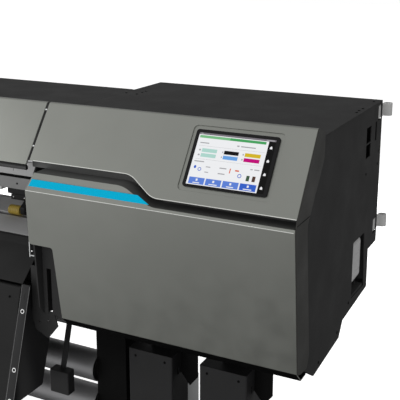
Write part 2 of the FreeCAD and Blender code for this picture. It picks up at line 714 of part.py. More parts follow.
def feed_and_pinch():
    y = ahead(FEED_AHEAD)
    z = feed_z()
    shaft = rod(FEED_RADIUS - 0.5, (LEFT_IN - 30, y, z), (RIGHT_IN + 46, y, z))
    pitch = (RIGHT_IN - LEFT_IN - 200) / (PINCH_COUNT - 1)
    for i in range(PINCH_COUNT):
        x = LEFT_IN + PINCH_START + i * pitch
        shaft = shaft.fuse(rod(FEED_RADIUS, (x - 30, y, z), (x + 30, y, z)))
    node("feed_roller", shaft)
    ly = ahead(LIFT_AHEAD)
    bar = rod(LIFT_RADIUS, (LEFT_IN + 8, ly, LIFT_Z), (RIGHT_IN - 8, ly, LIFT_Z))
    handle = section([
        (443.0, LIFT_Z - 7, 4.0), (443.0, LIFT_Z + 7, 4.0), (400.0, LIFT_Z + 6, 20.0),
        (200.0, 1203.0, 6.0), (200.0, 1189.0, 6.0), (400.0, LIFT_Z - 9, 20.0),
    ])
    lever = prism_x(handle, LEFT_IN + 10, LEFT_IN + 18)
    knob = rod(13.0, (LEFT_IN + 6, ahead(190), 1196), (LEFT_IN + 30, ahead(190), 1196))
    node("load_lever", bar.fuse(lever).fuse(knob))
    for i in range(4):
        x = LEFT_IN + PINCH_START + (2 * i + 0.5) * pitch
        hanger = box(x - 5, x + 5, ly - 14, ly + 14, LIFT_Z - 12, BEAM_LOW)
        node("guide_rail", hanger.cut(rod(LIFT_RADIUS + RUNNING, (x - 9, ly, LIFT_Z), (x + 9, ly, LIFT_Z))))
    ry = ahead(FEED_AHEAD)
    rz = PLATEN_Z + PINCH_RADIUS + 0.4
    for i in range(PINCH_COUNT):
        x = LEFT_IN + PINCH_START + i * pitch
        hub = box(x - 62, x + 50, ly - 15, ly + 12, LIFT_Z - 20, LIFT_Z + 7)
        foot = box(x - 46, x + 50, ly - 18, ly + 8, LIFT_Z - 38, LIFT_Z - 20)
        arm = [
            (ly + 10, LIFT_Z - 32), (ly - 8, LIFT_Z - 6, 6.0), (ry - 14, rz + 15, 8.0),
            (ry - 12, rz - 11, 8.0), (ry + 12, rz - 11, 6.0),
        ]
        arm = prism_x(arm, x + 27, x + 44)
        pin = rod(4.0, (x - 24, ry, rz), (x + 47, ry, rz))
        bore = rod(LIFT_RADIUS, (x - 70, ly, LIFT_Z), (x + 60, ly, LIFT_Z))
        body = hub.fuse(foot).fuse(arm).fuse(pin).cut(bore)
        node("pinch_arms", body.removeSplitter())
        half = PINCH_WIDTH / 2
        tyre = tube(PINCH_RADIUS, 4.0 + RUNNING, (x - half, ry, rz), (x + half, ry, rz))
        node("pinch_rollers", tyre)


def cap_station():
    x0, x1 = CARRIAGE_X
    tray = box(x0 + 35, x1 - 30, ahead(632), ahead(504), 1080, 1110)
    for i in range(3):
        x = x0 + 45 + i * 75
        cup = box(x, x + 60, ahead(625), ahead(510), 1110, 1128)
        cup = cup.cut(box(x + 4, x + 56, ahead(619), ahead(516), 1118, 1130))
        tray = tray.fuse(cup)
    node("cap_unit", tray.removeSplitter())
    base = box(x0 + 20, x1 - 15, ahead(645), ahead(500), BED_Z[0] + 30, 1066.0)
    hollow = box(x0 + 23, x1 - 18, ahead(642), ahead(503), BED_Z[0], 1063.0)
    node("bed_frame", base.cut(hollow))


# --- front cover --------------------------------------------------------------------
def hinge_places():
    x0 = LEFT_IN + COVER_GAP
    x1 = RIGHT_IN - COVER_GAP
    return [x0 + 120 + i * (x1 - x0 - 240) / (HINGE_COUNT - 1) for i in range(HINGE_COUNT)]


def front_cover():
    x0 = LEFT_IN + COVER_GAP
    x1 = RIGHT_IN - COVER_GAP
    path = section([(585.0, 1535.7), RIDGE + (9.0,), COVER_EDGE])
    cover = prism_x(band(path, SLANT_SHEET), x0, x1)
    glass = rounded_plate(-900.0, 520.0, 78.0, 196.0, 14.0)
    cover = cover.cut(on_slant(prism_z(glass, -12.0, 6.0)))
    y, z = ahead(HINGE[0]), HINGE[1]
    for x in hinge_places():
        near, far = x - HINGE_HALF, x + HINGE_HALF
        cover = cover.fuse(box(near, far, ahead(590), y, z - 3, z + 3))
        cover = cover.fuse(rod(3.0, (near, y, z), (far, y, z)))
    node("front_cover", cover.removeSplitter())
    pane = rounded_plate(-899.8, 519.8, 78.2, 195.8, 14.0)
    node("cover_window", on_slant(prism_z(pane, -5.0, -1.0)))
    grip = section([COVER_EDGE, (739.2, 1371.0, 3.0), (729.0, 1371.0, 3.0), (729.0, 1381.0)])
    node("front_cover", prism_x(grip, x0, x1))


# --- ink bay ------------------------------------------------------------------------
def ink_bay():
    half = TRAY_COUNT * TRAY_PITCH / 2
    low = TRAY_Z[0] - 3.5
    floor = box(TRAY_MID_X - half, TRAY_MID_X + half, ahead(726), ahead(504), low, TRAY_Z[0] - 0.5)
    rack = floor
    for i in range(TRAY_COUNT + 1):
        x = TRAY_MID_X - half + i * TRAY_PITCH
        edge = 1.5
        rack = rack.fuse(box(x - edge, x + edge, ahead(724), ahead(504), low, TRAY_Z[1] + 2))
    node("ink_rack", rack.removeSplitter())
    for i in range(TRAY_COUNT):
        x = TRAY_MID_X + (i - (TRAY_COUNT - 1) / 2) * TRAY_PITCH
        w = TRAY_WIDTH / 2
        front = section([
            (738.0, TRAY_Z[0], 6.0), (754.0, TRAY_Z[1], 6.0), (700.0, TRAY_Z[1]), (700.0, TRAY_Z[0]),
        ])
        case = prism_x(front, x - w, x + w)
        body = box(x - w, x + w, ahead(701), ahead(510), TRAY_Z[0], TRAY_Z[1] - 2)
        grip = box(x - 24, x + 24, ahead(770), ahead(728), 1056, 1080)
        node(f"ink_tray_{i + 1}", case.fuse(body).cut(grip).removeSplitter())


# --- stand --------------------------------------------------------------------------
def on_right(shape):
    return shape.translated(Vector(RIGHT_LEG_X, 0, 0))


def on_left(shape):
    return shape.mirror(Vector(0, 0, 0), Vector(1, 0, 0)).translated(Vector(LEFT_LEG_X, 0, 0))


def post(x, grow, z0, z1):
    half = POST_HALF + grow
    return box(x - half, x + half, ahead(POST_AHEAD[0]) - grow, ahead(POST_AHEAD[1]) + grow, z0, z1)


def column(c, x):
    """Bent front cladding with its top plate, slots and gusset, and the post behind it."""
    left = c - COLUMN_HALF
    right = c + COLUMN_HALF
    path = [
        (left, ahead(LEG_BACK)), (left, ahead(LEG_FRONT), 6.0), (right, ahead(LEG_FRONT), 6.0),
        (right, ahead(LEG_FRONT - 105)),
    ]
    shell = prism_z(band(path, SHEET), BASE_Z[1], LEG_TOP)
    for low in (683.0, 560.0, 300.0):
        slot = box(right - 5, right + 5, ahead(LEG_FRONT - 36), ahead(LEG_FRONT - 44), low, low + 22)
        shell = shell.cut(slot)
    top = box(left + 1, right - 1, ahead(LEG_FRONT - 1), ahead(LEG_FRONT - 105), LEG_TOP - SHEET, LEG_TOP)
    gusset = [
        (right, INNER_POST_TOP), (right + 59, INNER_POST_TOP), (right + 59, 677.0), (right + 31, 641.0),
        (right, 681.0),
    ]
    gusset = prism_y(gusset, ahead(LEG_FRONT - 60), ahead(LEG_FRONT - 63))
    guide = box(x + POST_HALF, right - 4, ahead(LEG_FRONT - 106), ahead(LEG_BACK + 10), BASE_Z[1], 612.0)
    return [shell, top, gusset, post(x, 0, BASE_Z[1], POST_TOP), guide]


def leg():
    """Leg about X = 0: two columns and the cross tubes' post on one long hollow foot."""
    near, far = -INNER_POST[1], -INNER_POST[0]
    body = box(-60, 60, ahead(BASE_FRONT), ahead(BASE_BACK), *BASE_Z)
    cross = box(near - 5, 225, ahead(LEG_FRONT + 8), ahead(LEG_BACK - 8), *BASE_Z)
    tie = box(-216, 190, ahead(LEG_BACK + 6), ahead(LEG_BACK), BASE_Z[1] + 60, BASE_Z[1] + 160)
    front, back = INNER_POST_AHEAD
    inner = box(near, far, ahead(front), ahead(back), BASE_Z[1], INNER_POST_TOP)
    pieces = [cross, tie, inner]
    for middle, x in zip(COLUMN_MIDS, POST_MIDS):
        pieces.extend(column(middle, x))
    for piece in pieces:
        body = body.fuse(piece)
    w = BASE_WALL
    low, high = BASE_Z[0] + w, BASE_Z[1] - w
    hollows = [
        box(w - 60, 60 - w, ahead(BASE_FRONT - w), ahead(BASE_BACK + w), low, high),
        box(near - 5 + w, 225 - w, ahead(LEG_FRONT + 8 - w), ahead(LEG_BACK - 8 + w), low, high),
        box(near + w, far - w, ahead(front - w), ahead(back + w), high - 1, INNER_POST_TOP - w),
    ]
    for x in POST_MIDS:
        hollows.append(post(x, -POST_WALL, high - 1, POST_TOP + 1))
    for hollow in hollows:
        body = body.cut(hollow)
    return body.removeSplitter()


def stand():
    node("right_leg", on_right(leg()))
    node("left_leg", on_left(leg()))
    x0 = LEFT_LEG_X + INNER_POST[1]
    x1 = RIGHT_LEG_X - INNER_POST[1]
    for z in TUBE_Z:
        y = ahead(LEG_FRONT - 62)
        node("stretcher_tubes", tube(TUBE_RADIUS, TUBE_RADIUS - SHEET, (x0, y, z), (x1, y, z)))
    foot_beam = box(x0, x1, ahead(430), ahead(370), 170, 230)
    hollow = box(x0 - 1, x1 + 1, ahead(426), ahead(374), 174, 226)
    node("stretcher_tubes", foot_beam.cut(hollow))
    for x in (RIGHT_LEG_X, LEFT_LEG_X):
        for d in (BASE_FRONT - 150, BASE_BACK + 150):
            pad = rod(24.0, (x, ahead(d), 0), (x, ahead(d), 10))
            screw = rod(8.0, (x, ahead(d), 10), (x, ahead(d), BASE_Z[0]))
            nut = prism_z(hexagon(x, ahead(d), 13.0), BASE_Z[0] - 12, BASE_Z[0])
            node("levelling_feet", pad.fuse(screw).fuse(nut))
    casters()


def hexagon(x, y, radius):
    turns = [math.radians(60 * i) for i in range(6)]
    return [(x + radius * math.cos(t), y + radius * math.sin(t)) for t in turns]


def casters():
    names = iter(("front_right", "rear_right", "front_left", "rear_left"))
    for x in (RIGHT_LEG_X, LEFT_LEG_X):
        for d in CASTER_AHEAD:
            name = next(names)
            y = ahead(d)
            wheel_y = y + CASTER_OFFSET
            wheel_z = CASTER_RADIUS + 2
            plate = rod(30.0, (x, y, BASE_Z[0] - 8), (x, y, BASE_Z[0] - 0.4))
            cheeks = []
            for side in (-1, 1):
                outline = [
                    (y - 22, BASE_Z[0] - 8), (wheel_y - 14, wheel_z - 14, 8.0),
                    (wheel_y + 14, wheel_z - 14, 8.0), (wheel_y + 14, wheel_z + 16, 8.0),
                    (y + 26, BASE_Z[0] - 8),
                ]
                a, b = sorted((x + side * 17, x + side * 20))
                cheeks.append(prism_x(outline, a, b))
            crown = box(x - 20, x + 20, y - 22, y + 26, BASE_Z[0] - 12, BASE_Z[0] - 8)
            axle = rod(4.0, (x - 23, wheel_y, wheel_z), (x + 23, wheel_y, wheel_z))
            fork = plate.fuse(crown).fuse(axle)
            for cheek in cheeks:
                fork = fork.fuse(cheek)
            node(f"caster_fork_{name}", fork.removeSplitter())
            wheel = rod(CASTER_RADIUS, (x - 15, wheel_y, wheel_z), (x + 15, wheel_y, wheel_z))
            rims = [e for e in wheel.Edges if isinstance(e.Curve, Part.Circle)]
            wheel = wheel.makeFillet(4.0, rims)
            wheel = wheel.cut(rod(4.0 + RUNNING, (x - 20, wheel_y, wheel_z), (x + 20, wheel_y, wheel_z)))
            node(f"caster_wheel_{name}", wheel)


# --- media handling -----------------------------------------------------------------
def take_up():
    y = ahead(TAKEUP[0])
    z = TAKEUP[1]
    x0 = LEFT_LEG_X + LEG_REACH
    x1 = RIGHT_LEG_X - LEG_REACH
    # a core carried between two flanged end pieces, each turning on its own stub
    node("takeup_shaft", rod(CORE_RADIUS, (x0 + 62, y, z), (x1 - 62, y, z)))
    for end, side in ((x0, 1), (x1, -1)):
        node("takeup_shaft", rod(SHAFT_RADIUS[0], (end + side, y, z), (end + side * 50, y, z)))
        flange = Part.makeCone(60.0, 42.0, 12.0, Vector(end + side * 50, y, z), Vector(side, 0, 0))
        node("takeup_shaft", flange)
    for x, side in ((x0, 1), (x1, -1)):
        arm = section([
            (LEG_FRONT - 60, 440.0), (LEG_FRONT - 60, 300.0), (600.0, 276.0, 20.0),
            (690.0, 290.0, 25.0), (690.0, 372.0, 25.0), (600.0, 384.0, 20.0),
        ])
        low, high = sorted((x, x + side * 8))
        arm = prism_x(arm, low, high)
        arm = arm.cut(rod(SHAFT_RADIUS[0] + RUNNING, (x - 20, y, z), (x + 20, y, z)))
        dy, dz = ahead(DANCER[0]), DANCER[1]
        pivot = rod(8.0, (x + side * 8, dy, dz), (x + side * 26, dy, dz))
        node("roll_brackets", arm.fuse(pivot))
    motor = box(x1, x1 + 60, ahead(700), ahead(540), 286, 376)
    upright = [e for e in motor.Edges if abs(e.tangentAt(e.FirstParameter).x) > 0.9]
    node("roll_brackets", motor.makeFillet(12.0, upright))
    by, bz = ahead(DANCER_BAR[0]), DANCER_BAR[1]
    bar = rod(16.0, (x0 + 40, by, bz), (x1 - 40, by, bz))
    bar = bar.fuse(rod(6.0, (x0 + 18, by, bz), (x1 - 18, by, bz)))
    node("dancer_bar", bar.removeSplitter())
    for x in (x0 + 12, x1 - 18):
        arm = section([
            (505.0, 306.0, 12.0), (505.0, 334.0, 12.0), (528.0, 332.0, 12.0),
            (716.0, 184.0, 10.0), (700.0, 164.0, 10.0),
        ])
        arm = prism_x(arm, x, x + 6)
        arm = arm.cut(rod(8.0 + RUNNING, (x - 20, dy, dz), (x + 20, dy, dz)))
        node("dancer_bar", arm)


def web_sensor():
    """Box on a slanting strap that watches the loop of printed web."""
    strap = [(727.0, INNER_POST_TOP), (747.0, INNER_POST_TOP), (713.0, 688.0), (693.0, 688.0)]
    strap = prism_y(strap, ahead(602), ahead(599))
    case = box(*SENSOR_X, ahead(625), ahead(590), *SENSOR_Z)
    upright = [e for e in case.Edges if abs(e.tangentAt(e.FirstParameter).z) > 0.9]
    node("roll_brackets", case.makeFillet(4.0, upright).fuse(strap))


def supply():
    y = ahead(SUPPLY[0])
    z = SUPPLY[1]
    x0 = LEFT_LEG_X + LEG_REACH
    x1 = RIGHT_LEG_X - LEG_REACH
    radius = SHAFT_RADIUS[1]
    shaft = rod(radius, (x0 + 1, y, z), (x1 - 1, y, z))
    for x in (x0 + 60, x1 - 72):
        flange = rod(110.0, (x, y, z), (x + 12, y, z))
        hub = rod(37.0, (x - 20, y, z), (x + 32, y, z))
        shaft = shaft.fuse(flange).fuse(hub)
    node("supply_shaft", shaft)
    for x, side in ((x0, -1), (x1, 1)):
        arm = section([
            (LEG_BACK + 40, 610.0), (LEG_BACK + 40, 470.0), (130.0, 520.0, 20.0), (60.0, 520.0, 14.0),
            (60.0, 582.0, 8.0), (120.0, 582.0, 8.0),
        ])
        low, high = sorted((x, x - side * 8))
        arm = prism_x(arm, low, high)
        saddle = rod(radius + RUNNING, (x - 20, y, z), (x + 20, y, z))
        mouth = box(x - 20, x + 20, y - radius - RUNNING, y + radius + RUNNING, z, z + 40)
        arm = arm.cut(saddle).cut(mouth)
        node("roll_brackets", arm)


# --- electronics --------------------------------------------------------------------
def electronics():
    case = box(860, 1360, ahead(150), ahead(SHEET), 1100, 1440)
    case = case.cut(box(861.5, 1358.5, ahead(148.5), ahead(SHEET + 1.5), 1101.5, 1438.5))
    case = case.cut(box(1265, 1345, ahead(26), REAR, 1085, 1155))
    inlet = box(1272, 1338, ahead(26), REAR + 1, 1098, 1142)
    inlet = inlet.fuse(box(1266, 1344, REAR, REAR + 1.6, 1086, 1154))
    inlet = inlet.cut(box(1277, 1301, ahead(16), REAR + 2, 1106, 1134))
    inlet = inlet.cut(box(1311, 1333, ahead(18), REAR + 2, 1103, 1137))
    pivot = rod(1.5, (1311, ahead(7), 1120), (1333, ahead(7), 1120))
    node("control_box", case, inlet.fuse(pivot))
    rocker = section([
        (12.0, 1112.0, 2.0), (12.0, 1128.0, 2.0), (1.0, 1135.0, 2.0), (2.0, 1120.0, 8.0),
        (-4.0, 1106.0, 2.0),
    ])
    rocker = prism_x(rocker, 1312, 1332)
    node("main_switch", rocker.cut(rod(1.5 + RUNNING, (1300, ahead(7), 1120), (1340, ahead(7), 1120))))


def build():
    right_upper_panel()
    right_lower_panel()
    left_front()
    housing_shells()
    end_caps()
    side_panels()
    top_covers()
    rear_hooks()
    cover_screws()
    side_frames()
    bed_and_beam()
    platen()
    dryer()
    print_carriage()
    cutter_carriage()
    belt_drive()
    feed_and_pinch()
    cap_station()
    front_cover()
    ink_bay()
    stand()
    take_up()
    web_sensor()
    supply()
    electronics()


def export_all():
    os.makedirs("parts", exist_ok=True)
    for name, solids in NODES.items():
        shape = solids[0] if len(solids) == 1 else Part.makeCompound(solids)
        shape.exportStep(f"parts/{name}.step")
        bad = [s for s in solids if not s.isValid()]
        if bad:
            print("invalid solid in", name)
    print(len(NODES), "nodes")


build()
export_all()
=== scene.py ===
import json
import math

import bmesh
import bpy
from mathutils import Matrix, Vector

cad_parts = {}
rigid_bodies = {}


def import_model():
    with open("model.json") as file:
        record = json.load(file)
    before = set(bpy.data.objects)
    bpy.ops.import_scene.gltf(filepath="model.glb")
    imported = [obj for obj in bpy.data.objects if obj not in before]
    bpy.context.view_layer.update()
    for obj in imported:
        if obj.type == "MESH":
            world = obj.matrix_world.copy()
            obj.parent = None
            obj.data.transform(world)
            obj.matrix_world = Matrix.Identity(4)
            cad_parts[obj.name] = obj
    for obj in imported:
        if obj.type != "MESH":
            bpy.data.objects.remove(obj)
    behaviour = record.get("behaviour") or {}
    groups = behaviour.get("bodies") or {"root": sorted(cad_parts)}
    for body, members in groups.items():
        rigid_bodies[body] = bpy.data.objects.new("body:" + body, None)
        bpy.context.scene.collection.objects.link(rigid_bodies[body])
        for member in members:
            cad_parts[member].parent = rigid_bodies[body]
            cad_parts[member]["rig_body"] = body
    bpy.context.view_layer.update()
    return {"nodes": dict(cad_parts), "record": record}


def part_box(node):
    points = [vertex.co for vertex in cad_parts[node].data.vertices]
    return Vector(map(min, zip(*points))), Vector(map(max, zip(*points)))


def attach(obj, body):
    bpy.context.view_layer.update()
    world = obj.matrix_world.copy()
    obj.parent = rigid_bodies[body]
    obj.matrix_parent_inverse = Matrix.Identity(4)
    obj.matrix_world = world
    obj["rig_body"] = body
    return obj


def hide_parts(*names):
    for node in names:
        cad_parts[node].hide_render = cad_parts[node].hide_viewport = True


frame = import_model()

MM = 0.001
REAR = 0.395  # Y of the rear face of the end housings
ACROSS, FORWARD, BACKWARD, UP = (1, 0, 0), (0, -1, 0), (0, 1, 0), (0, 0, 1)


# --- lengths and places: metres, unless a comment says millimetres ---------------------
def ahead(distance):
    """Y of a point this many millimetres ahead of the rear face."""
    return REAR - distance * MM


def aheads(*distances):
    return tuple(ahead(d) for d in distances)


def mm(*values):
    """Values in millimetres, as metres."""
    return [v * MM for v in values]


def mm_pairs(*pairs):
    return [(a * MM, b * MM) for a, b in pairs]


def around(middle, half):
    """The two ends of a span, from its middle and half its length."""
    return middle - half, middle + half


def row(first, pitch, count):
    return [first + i * pitch for i in range(count)]


# --- materials -------------------------------------------------------------------------
def blank(name):
    """A new node material with its shader and an object-space coordinate."""
    mat = bpy.data.materials.new(name)
    mat.use_nodes = True
    tree = mat.node_tree
    shader = tree.nodes["Principled BSDF"]
    place = tree.nodes.new("ShaderNodeTexCoord")
    return mat, tree, shader, place.outputs["Object"]


def stretched(tree, vector, scale):
    node = tree.nodes.new("ShaderNodeMapping")
    node.inputs["Scale"].default_value = scale
    tree.links.new(vector, node.inputs["Vector"])
    return node.outputs["Vector"]


def noise(tree, vector, scale, detail=3.0, rough=0.55):
    node = tree.nodes.new("ShaderNodeTexNoise")
    node.inputs["Scale"].default_value = scale
    node.inputs["Detail"].default_value = detail
    node.inputs["Roughness"].default_value = rough
    tree.links.new(vector, node.inputs["Vector"])
    return node.outputs["Fac"]


def spread(tree, value, low, high, from_low=0.3, from_high=0.7):
    """The value mapped to a new range; noise seldom leaves 0.3 to 0.7."""
    node = tree.nodes.new("ShaderNodeMapRange")
    node.inputs["From Min"].default_value = from_low
    node.inputs["From Max"].default_value = from_high
    node.inputs["To Min"].default_value = low
    node.inputs["To Max"].default_value = high
    tree.links.new(value, node.inputs["Value"])
    return node.outputs["Result"]


def tint(tree, value, dark, light):
    node = tree.nodes.new("ShaderNodeMix")
    node.data_type = "RGBA"
    node.inputs["A"].default_value = (*dark, 1)
    node.inputs["B"].default_value = (*light, 1)
    tree.links.new(value, node.inputs["Factor"])
    return node.outputs["Result"]


def bump(tree, shader, height, strength, distance):
    node = tree.nodes.new("ShaderNodeBump")
    node.inputs["Strength"].default_value = strength
    node.inputs["Distance"].default_value = distance
    tree.links.new(height, node.inputs["Height"])
    tree.links.new(node.outputs["Normal"], shader.inputs["Normal"])


def shade(colour, factor):
    return tuple(max(0.0, min(1.0, c * factor)) for c in colour)


def vary_colour(tree, shader, value, colour, dark, light):
    """Base colour between two shades of one colour, as the value goes from 0 to 1."""
    mixed = tint(tree, value, shade(colour, dark), shade(colour, light))
    tree.links.new(mixed, shader.inputs["Base Color"])


def vary_rough(tree, shader, value, low, high):
    tree.links.new(spread(tree, value, low, high), shader.inputs["Roughness"])


def painted(name, colour, rough, metallic=0.0):
    """Sprayed paint: faint cloudiness, orange peel and a roughness that wanders."""
    mat, tree, shader, place = blank(name)
    cloud = spread(tree, noise(tree, place, scale=3.5), 0, 1)
    vary_colour(tree, shader, cloud, colour, dark=0.96, light=1.04)
    wander = noise(tree, place, scale=18.0, detail=4.0)
    vary_rough(tree, shader, wander, rough - 0.06, rough + 0.06)
    shader.inputs["Metallic"].default_value = metallic
    peel = noise(tree, place, scale=900.0, detail=2.0)
    bump(tree, shader, peel, strength=0.35, distance=0.00004)
    return mat


def textured(name, colour, rough, grain=1400.0, depth=0.00009, specular=0.5):
    """Fine wrinkle powder coat or moulded plastic with a spark-eroded grain."""
    mat, tree, shader, place = blank(name)
    speck = spread(tree, noise(tree, place, grain, detail=2.0), 0, 1, 0.35, 0.65)
    vary_colour(tree, shader, speck, colour, dark=0.82, light=1.18)
    wander = noise(tree, place, scale=9.0, detail=4.0)
    vary_rough(tree, shader, wander, rough - 0.07, rough + 0.07)
    shader.inputs["Specular IOR Level"].default_value = specular
    wrinkle = noise(tree, place, grain, detail=3.0, rough=0.7)
    bump(tree, shader, wrinkle, strength=0.5, distance=depth)
    return mat


def brushed(name, colour, rough, along=(1, 1, 60), metallic=1.0):
    """Metal with fine lines: the long axis has the small scale."""
    mat, tree, shader, place = blank(name)
    lines = noise(tree, stretched(tree, place, along), scale=60.0, detail=5.0, rough=0.6)
    vary_colour(tree, shader, spread(tree, lines, 0, 1), colour, dark=0.86, light=1.08)
    vary_rough(tree, shader, lines, rough - 0.08, rough + 0.12)
    shader.inputs["Metallic"].default_value = metallic
    bump(tree, shader, lines, strength=0.25, distance=0.00003)
    return mat


def rubber(name, colour, rough=0.7):
    mat, tree, shader, place = blank(name)
    dust = spread(tree, noise(tree, place, scale=240.0, detail=4.0), 0, 1)
    vary_colour(tree, shader, dust, colour, dark=0.85, light=1.25)
    vary_rough(tree, shader, noise(tree, place, scale=60.0), rough - 0.08, rough + 0.1)
    bump(tree, shader, noise(tree, place, scale=1600.0), strength=0.4, distance=0.00005)
    return mat


def glass_black(name, colour, rough, specular=0.5):
    """Dark glass or tinted sheet with faint smears."""
    mat, tree, shader, place = blank(name)
    vary_rough(tree, shader, noise(tree, place, scale=25.0, detail=4.0), rough, rough + 0.05)
    film = spread(tree, noise(tree, place, scale=6.0), 0, 1)
    vary_colour(tree, shader, film, colour, dark=0.9, light=1.2)
    shader.inputs["Specular IOR Level"].default_value = specular
    return mat


def glowing(name, colour, strength=0.75):
    """Lit screen colour with a faint pixel grid."""
    mat, tree, shader, place = blank(name)
    grid = tree.nodes.new("ShaderNodeTexVoronoi")
    grid.inputs["Scale"].default_value = 2500.0
    tree.links.new(place, grid.inputs["Vector"])
    cell = spread(tree, grid.outputs["Distance"], 0, 1, 0.0, 1.0)
    lit = tint(tree, cell, shade(colour, 1.0), shade(colour, 0.94))
    tree.links.new(lit, shader.inputs["Emission Color"])
    shader.inputs["Emission Strength"].default_value = strength
    shader.inputs["Base Color"].default_value = (*shade(colour, 0.1), 1)
    shader.inputs["Roughness"].default_value = 0.25
    shader.inputs["Specular IOR Level"].default_value = 0.08
    return mat


# each finish: how it is made, its colour, and its settings
FINISHES = {
    "cover_grey": (painted, (0.205, 0.211, 0.193), dict(rough=0.34, metallic=0.75)),
    "body_black": (textured, (0.033, 0.033, 0.033), dict(rough=0.66, specular=0.06)),
    "frame_black": (textured, (0.015, 0.015, 0.0155), dict(rough=0.5, grain=1100.0, specular=0.2)),
    "duct_black": (textured, (0.010, 0.010, 0.010), dict(rough=0.55, grain=1100.0, specular=0.15)),
    "deep_black": (textured, (0.003, 0.003, 0.003), dict(rough=0.6, grain=1100.0, specular=0.06)),
    "end_cap_grey": (textured, (0.032, 0.032, 0.0295), dict(rough=0.52, specular=0.14)),
    "light_cover": (painted, (0.50, 0.50, 0.50), dict(rough=0.36)),
    "mid_cover": (painted, (0.24, 0.24, 0.24), dict(rough=0.40)),
    "steel": (brushed, (0.55, 0.55, 0.55), dict(rough=0.32)),
    "bright_steel": (brushed, (0.78, 0.78, 0.78), dict(rough=0.2)),
    "zinc": (brushed, (0.55, 0.56, 0.56), dict(rough=0.42, along=(40, 40, 1))),
    "aluminium": (brushed, (0.42, 0.42, 0.43), dict(rough=0.36, along=(1, 60, 60))),
    "black_plastic": (textured, (0.014, 0.014, 0.014),
                      dict(rough=0.5, grain=1800.0, depth=0.00006)),
    "grey_plastic": (textured, (0.16, 0.16, 0.158), dict(rough=0.5, grain=1800.0, depth=0.00006)),
    "light_plastic": (textured, (0.46, 0.46, 0.455), dict(rough=0.45, grain=1800.0, depth=0.00005)),
    "bottle_plastic": (textured, (0.42, 0.42, 0.42), dict(rough=0.35, grain=500.0, depth=0.00004)),
    "amber_rubber": (rubber, (0.42, 0.30, 0.05), dict(rough=0.5)),
    "wheel_rubber": (rubber, (0.02, 0.02, 0.02), {}),
    "belt_rubber": (rubber, (0.025, 0.025, 0.025), {}),
    "foam": (rubber, (0.30, 0.30, 0.29), dict(rough=0.85)),
    "screen_glass": (glass_black, (0.004, 0.004, 0.0045), dict(rough=0.12, specular=0.15)),
    # painted highlight: bright strips on the sloping panel's lower edge and on the fascia's crease
    "edge_light": (painted, (0.60, 0.61, 0.58), dict(rough=0.3, metallic=0.6)),
    # painted highlight: lighter strips on the edges of the dryer lips
    "edge_grey": (painted, (0.20, 0.20, 0.20), dict(rough=0.35, metallic=0.5)),
    "tube_grey": (brushed, (0.24, 0.24, 0.245), dict(rough=0.48, along=(1, 50, 50), metallic=0.6)),
    # painted shade: darker amber for the grooves of the pinch rollers
    "amber_dark": (rubber, (0.16, 0.10, 0.01), dict(rough=0.6)),
    # painted shade in gaps, slots and socket openings and behind the louvres and fan, and the real
    # dark seams of the beam covers
    "gasket": (rubber, (0.004, 0.004, 0.004), dict(rough=0.8)),
    "lamp_green": (glowing, (0.05, 0.75, 0.12), dict(strength=0.9)),
    "tag_cyan": (painted, (0.0, 0.32, 0.52), dict(rough=0.4)),
    "tag_magenta": (painted, (0.50, 0.01, 0.16), dict(rough=0.4)),
    "tag_yellow": (painted, (0.70, 0.52, 0.02), dict(rough=0.4)),
    "tag_grey": (painted, (0.10, 0.10, 0.10), dict(rough=0.4)),
    "plate_silver": (brushed, (0.42, 0.42, 0.42), dict(rough=0.4, along=(50, 1, 1))),
    "window_tint": (glass_black, (0.02, 0.021, 0.023), dict(rough=0.08)),
    "cyan_film": (textured, (0.0, 0.42, 0.66),
                  dict(rough=0.42, grain=1800.0, depth=0.00002, specular=0.04)),
    "brass": (brushed, (0.62, 0.45, 0.18), dict(rough=0.28)),
    "table_grey": (painted, (0.50, 0.50, 0.50), dict(rough=0.70, metallic=0.2)),
    # painted shade: darker paint for the groove of the front panels
    "groove_black": (painted, (0.050, 0.051, 0.049), dict(rough=0.5)),
    "screw_black": (textured, (0.002, 0.002, 0.002),
                    dict(rough=0.5, grain=1100.0, depth=0.00002, specular=0.06)),
    "ui_white": (glowing, (0.90, 0.91, 0.93), dict(strength=0.86)),
    "ui_line": (glowing, (0.22, 0.20, 0.23), {}),
    "ui_grey": (glowing, (0.45, 0.45, 0.47), {}),
    "ui_green": (glowing, (0.07, 0.42, 0.13), {}),
    "ui_pale_green": (glowing, (0.22, 0.58, 0.27), {}),
    "ui_teal": (glowing, (0.50, 0.80, 0.72), {}),
    "ui_black": (glowing, (0.004, 0.004, 0.004), {}),
    "ui_sky": (glowing, (0.16, 0.42, 0.90), {}),
    "ui_blue": (glowing, (0.13, 0.26, 0.80), {}),
    "ui_deep_blue": (glowing, (0.04, 0.14, 0.68), {}),
    "ui_yellow": (glowing, (0.78, 0.55, 0.02), {}),
    "ui_magenta": (glowing, (0.62, 0.0, 0.22), {}),
    "ui_orange": (glowing, (0.80, 0.10, 0.01), {}),
    "ui_moss": (glowing, (0.06, 0.12, 0.07), {}),
    "ui_brown": (glowing, (0.10, 0.05, 0.035), {}),
}
M = {name: make(name, colour, **more) for name, (make, colour, more) in FINISHES.items()}


# --- CAD nodes: real edge rounding and finishes ----------------------------------------
MERGE_DISTANCE = 2e-6
FLAT_ANGLE = math.radians(0.6)
BEVEL_ANGLE = math.radians(32)
SPLIT_ANGLE = math.radians(35)


def link(obj):
    bpy.context.scene.collection.objects.link(obj)
    return obj


def settle(obj):
    """Apply the modifiers, so that the piece holds its final mesh."""
    bpy.context.view_layer.update()
    graph = bpy.context.evaluated_depsgraph_get()
    mesh = bpy.data.meshes.new_from_object(obj.evaluated_get(graph))
    obj.modifiers.clear()
    obj.data = mesh


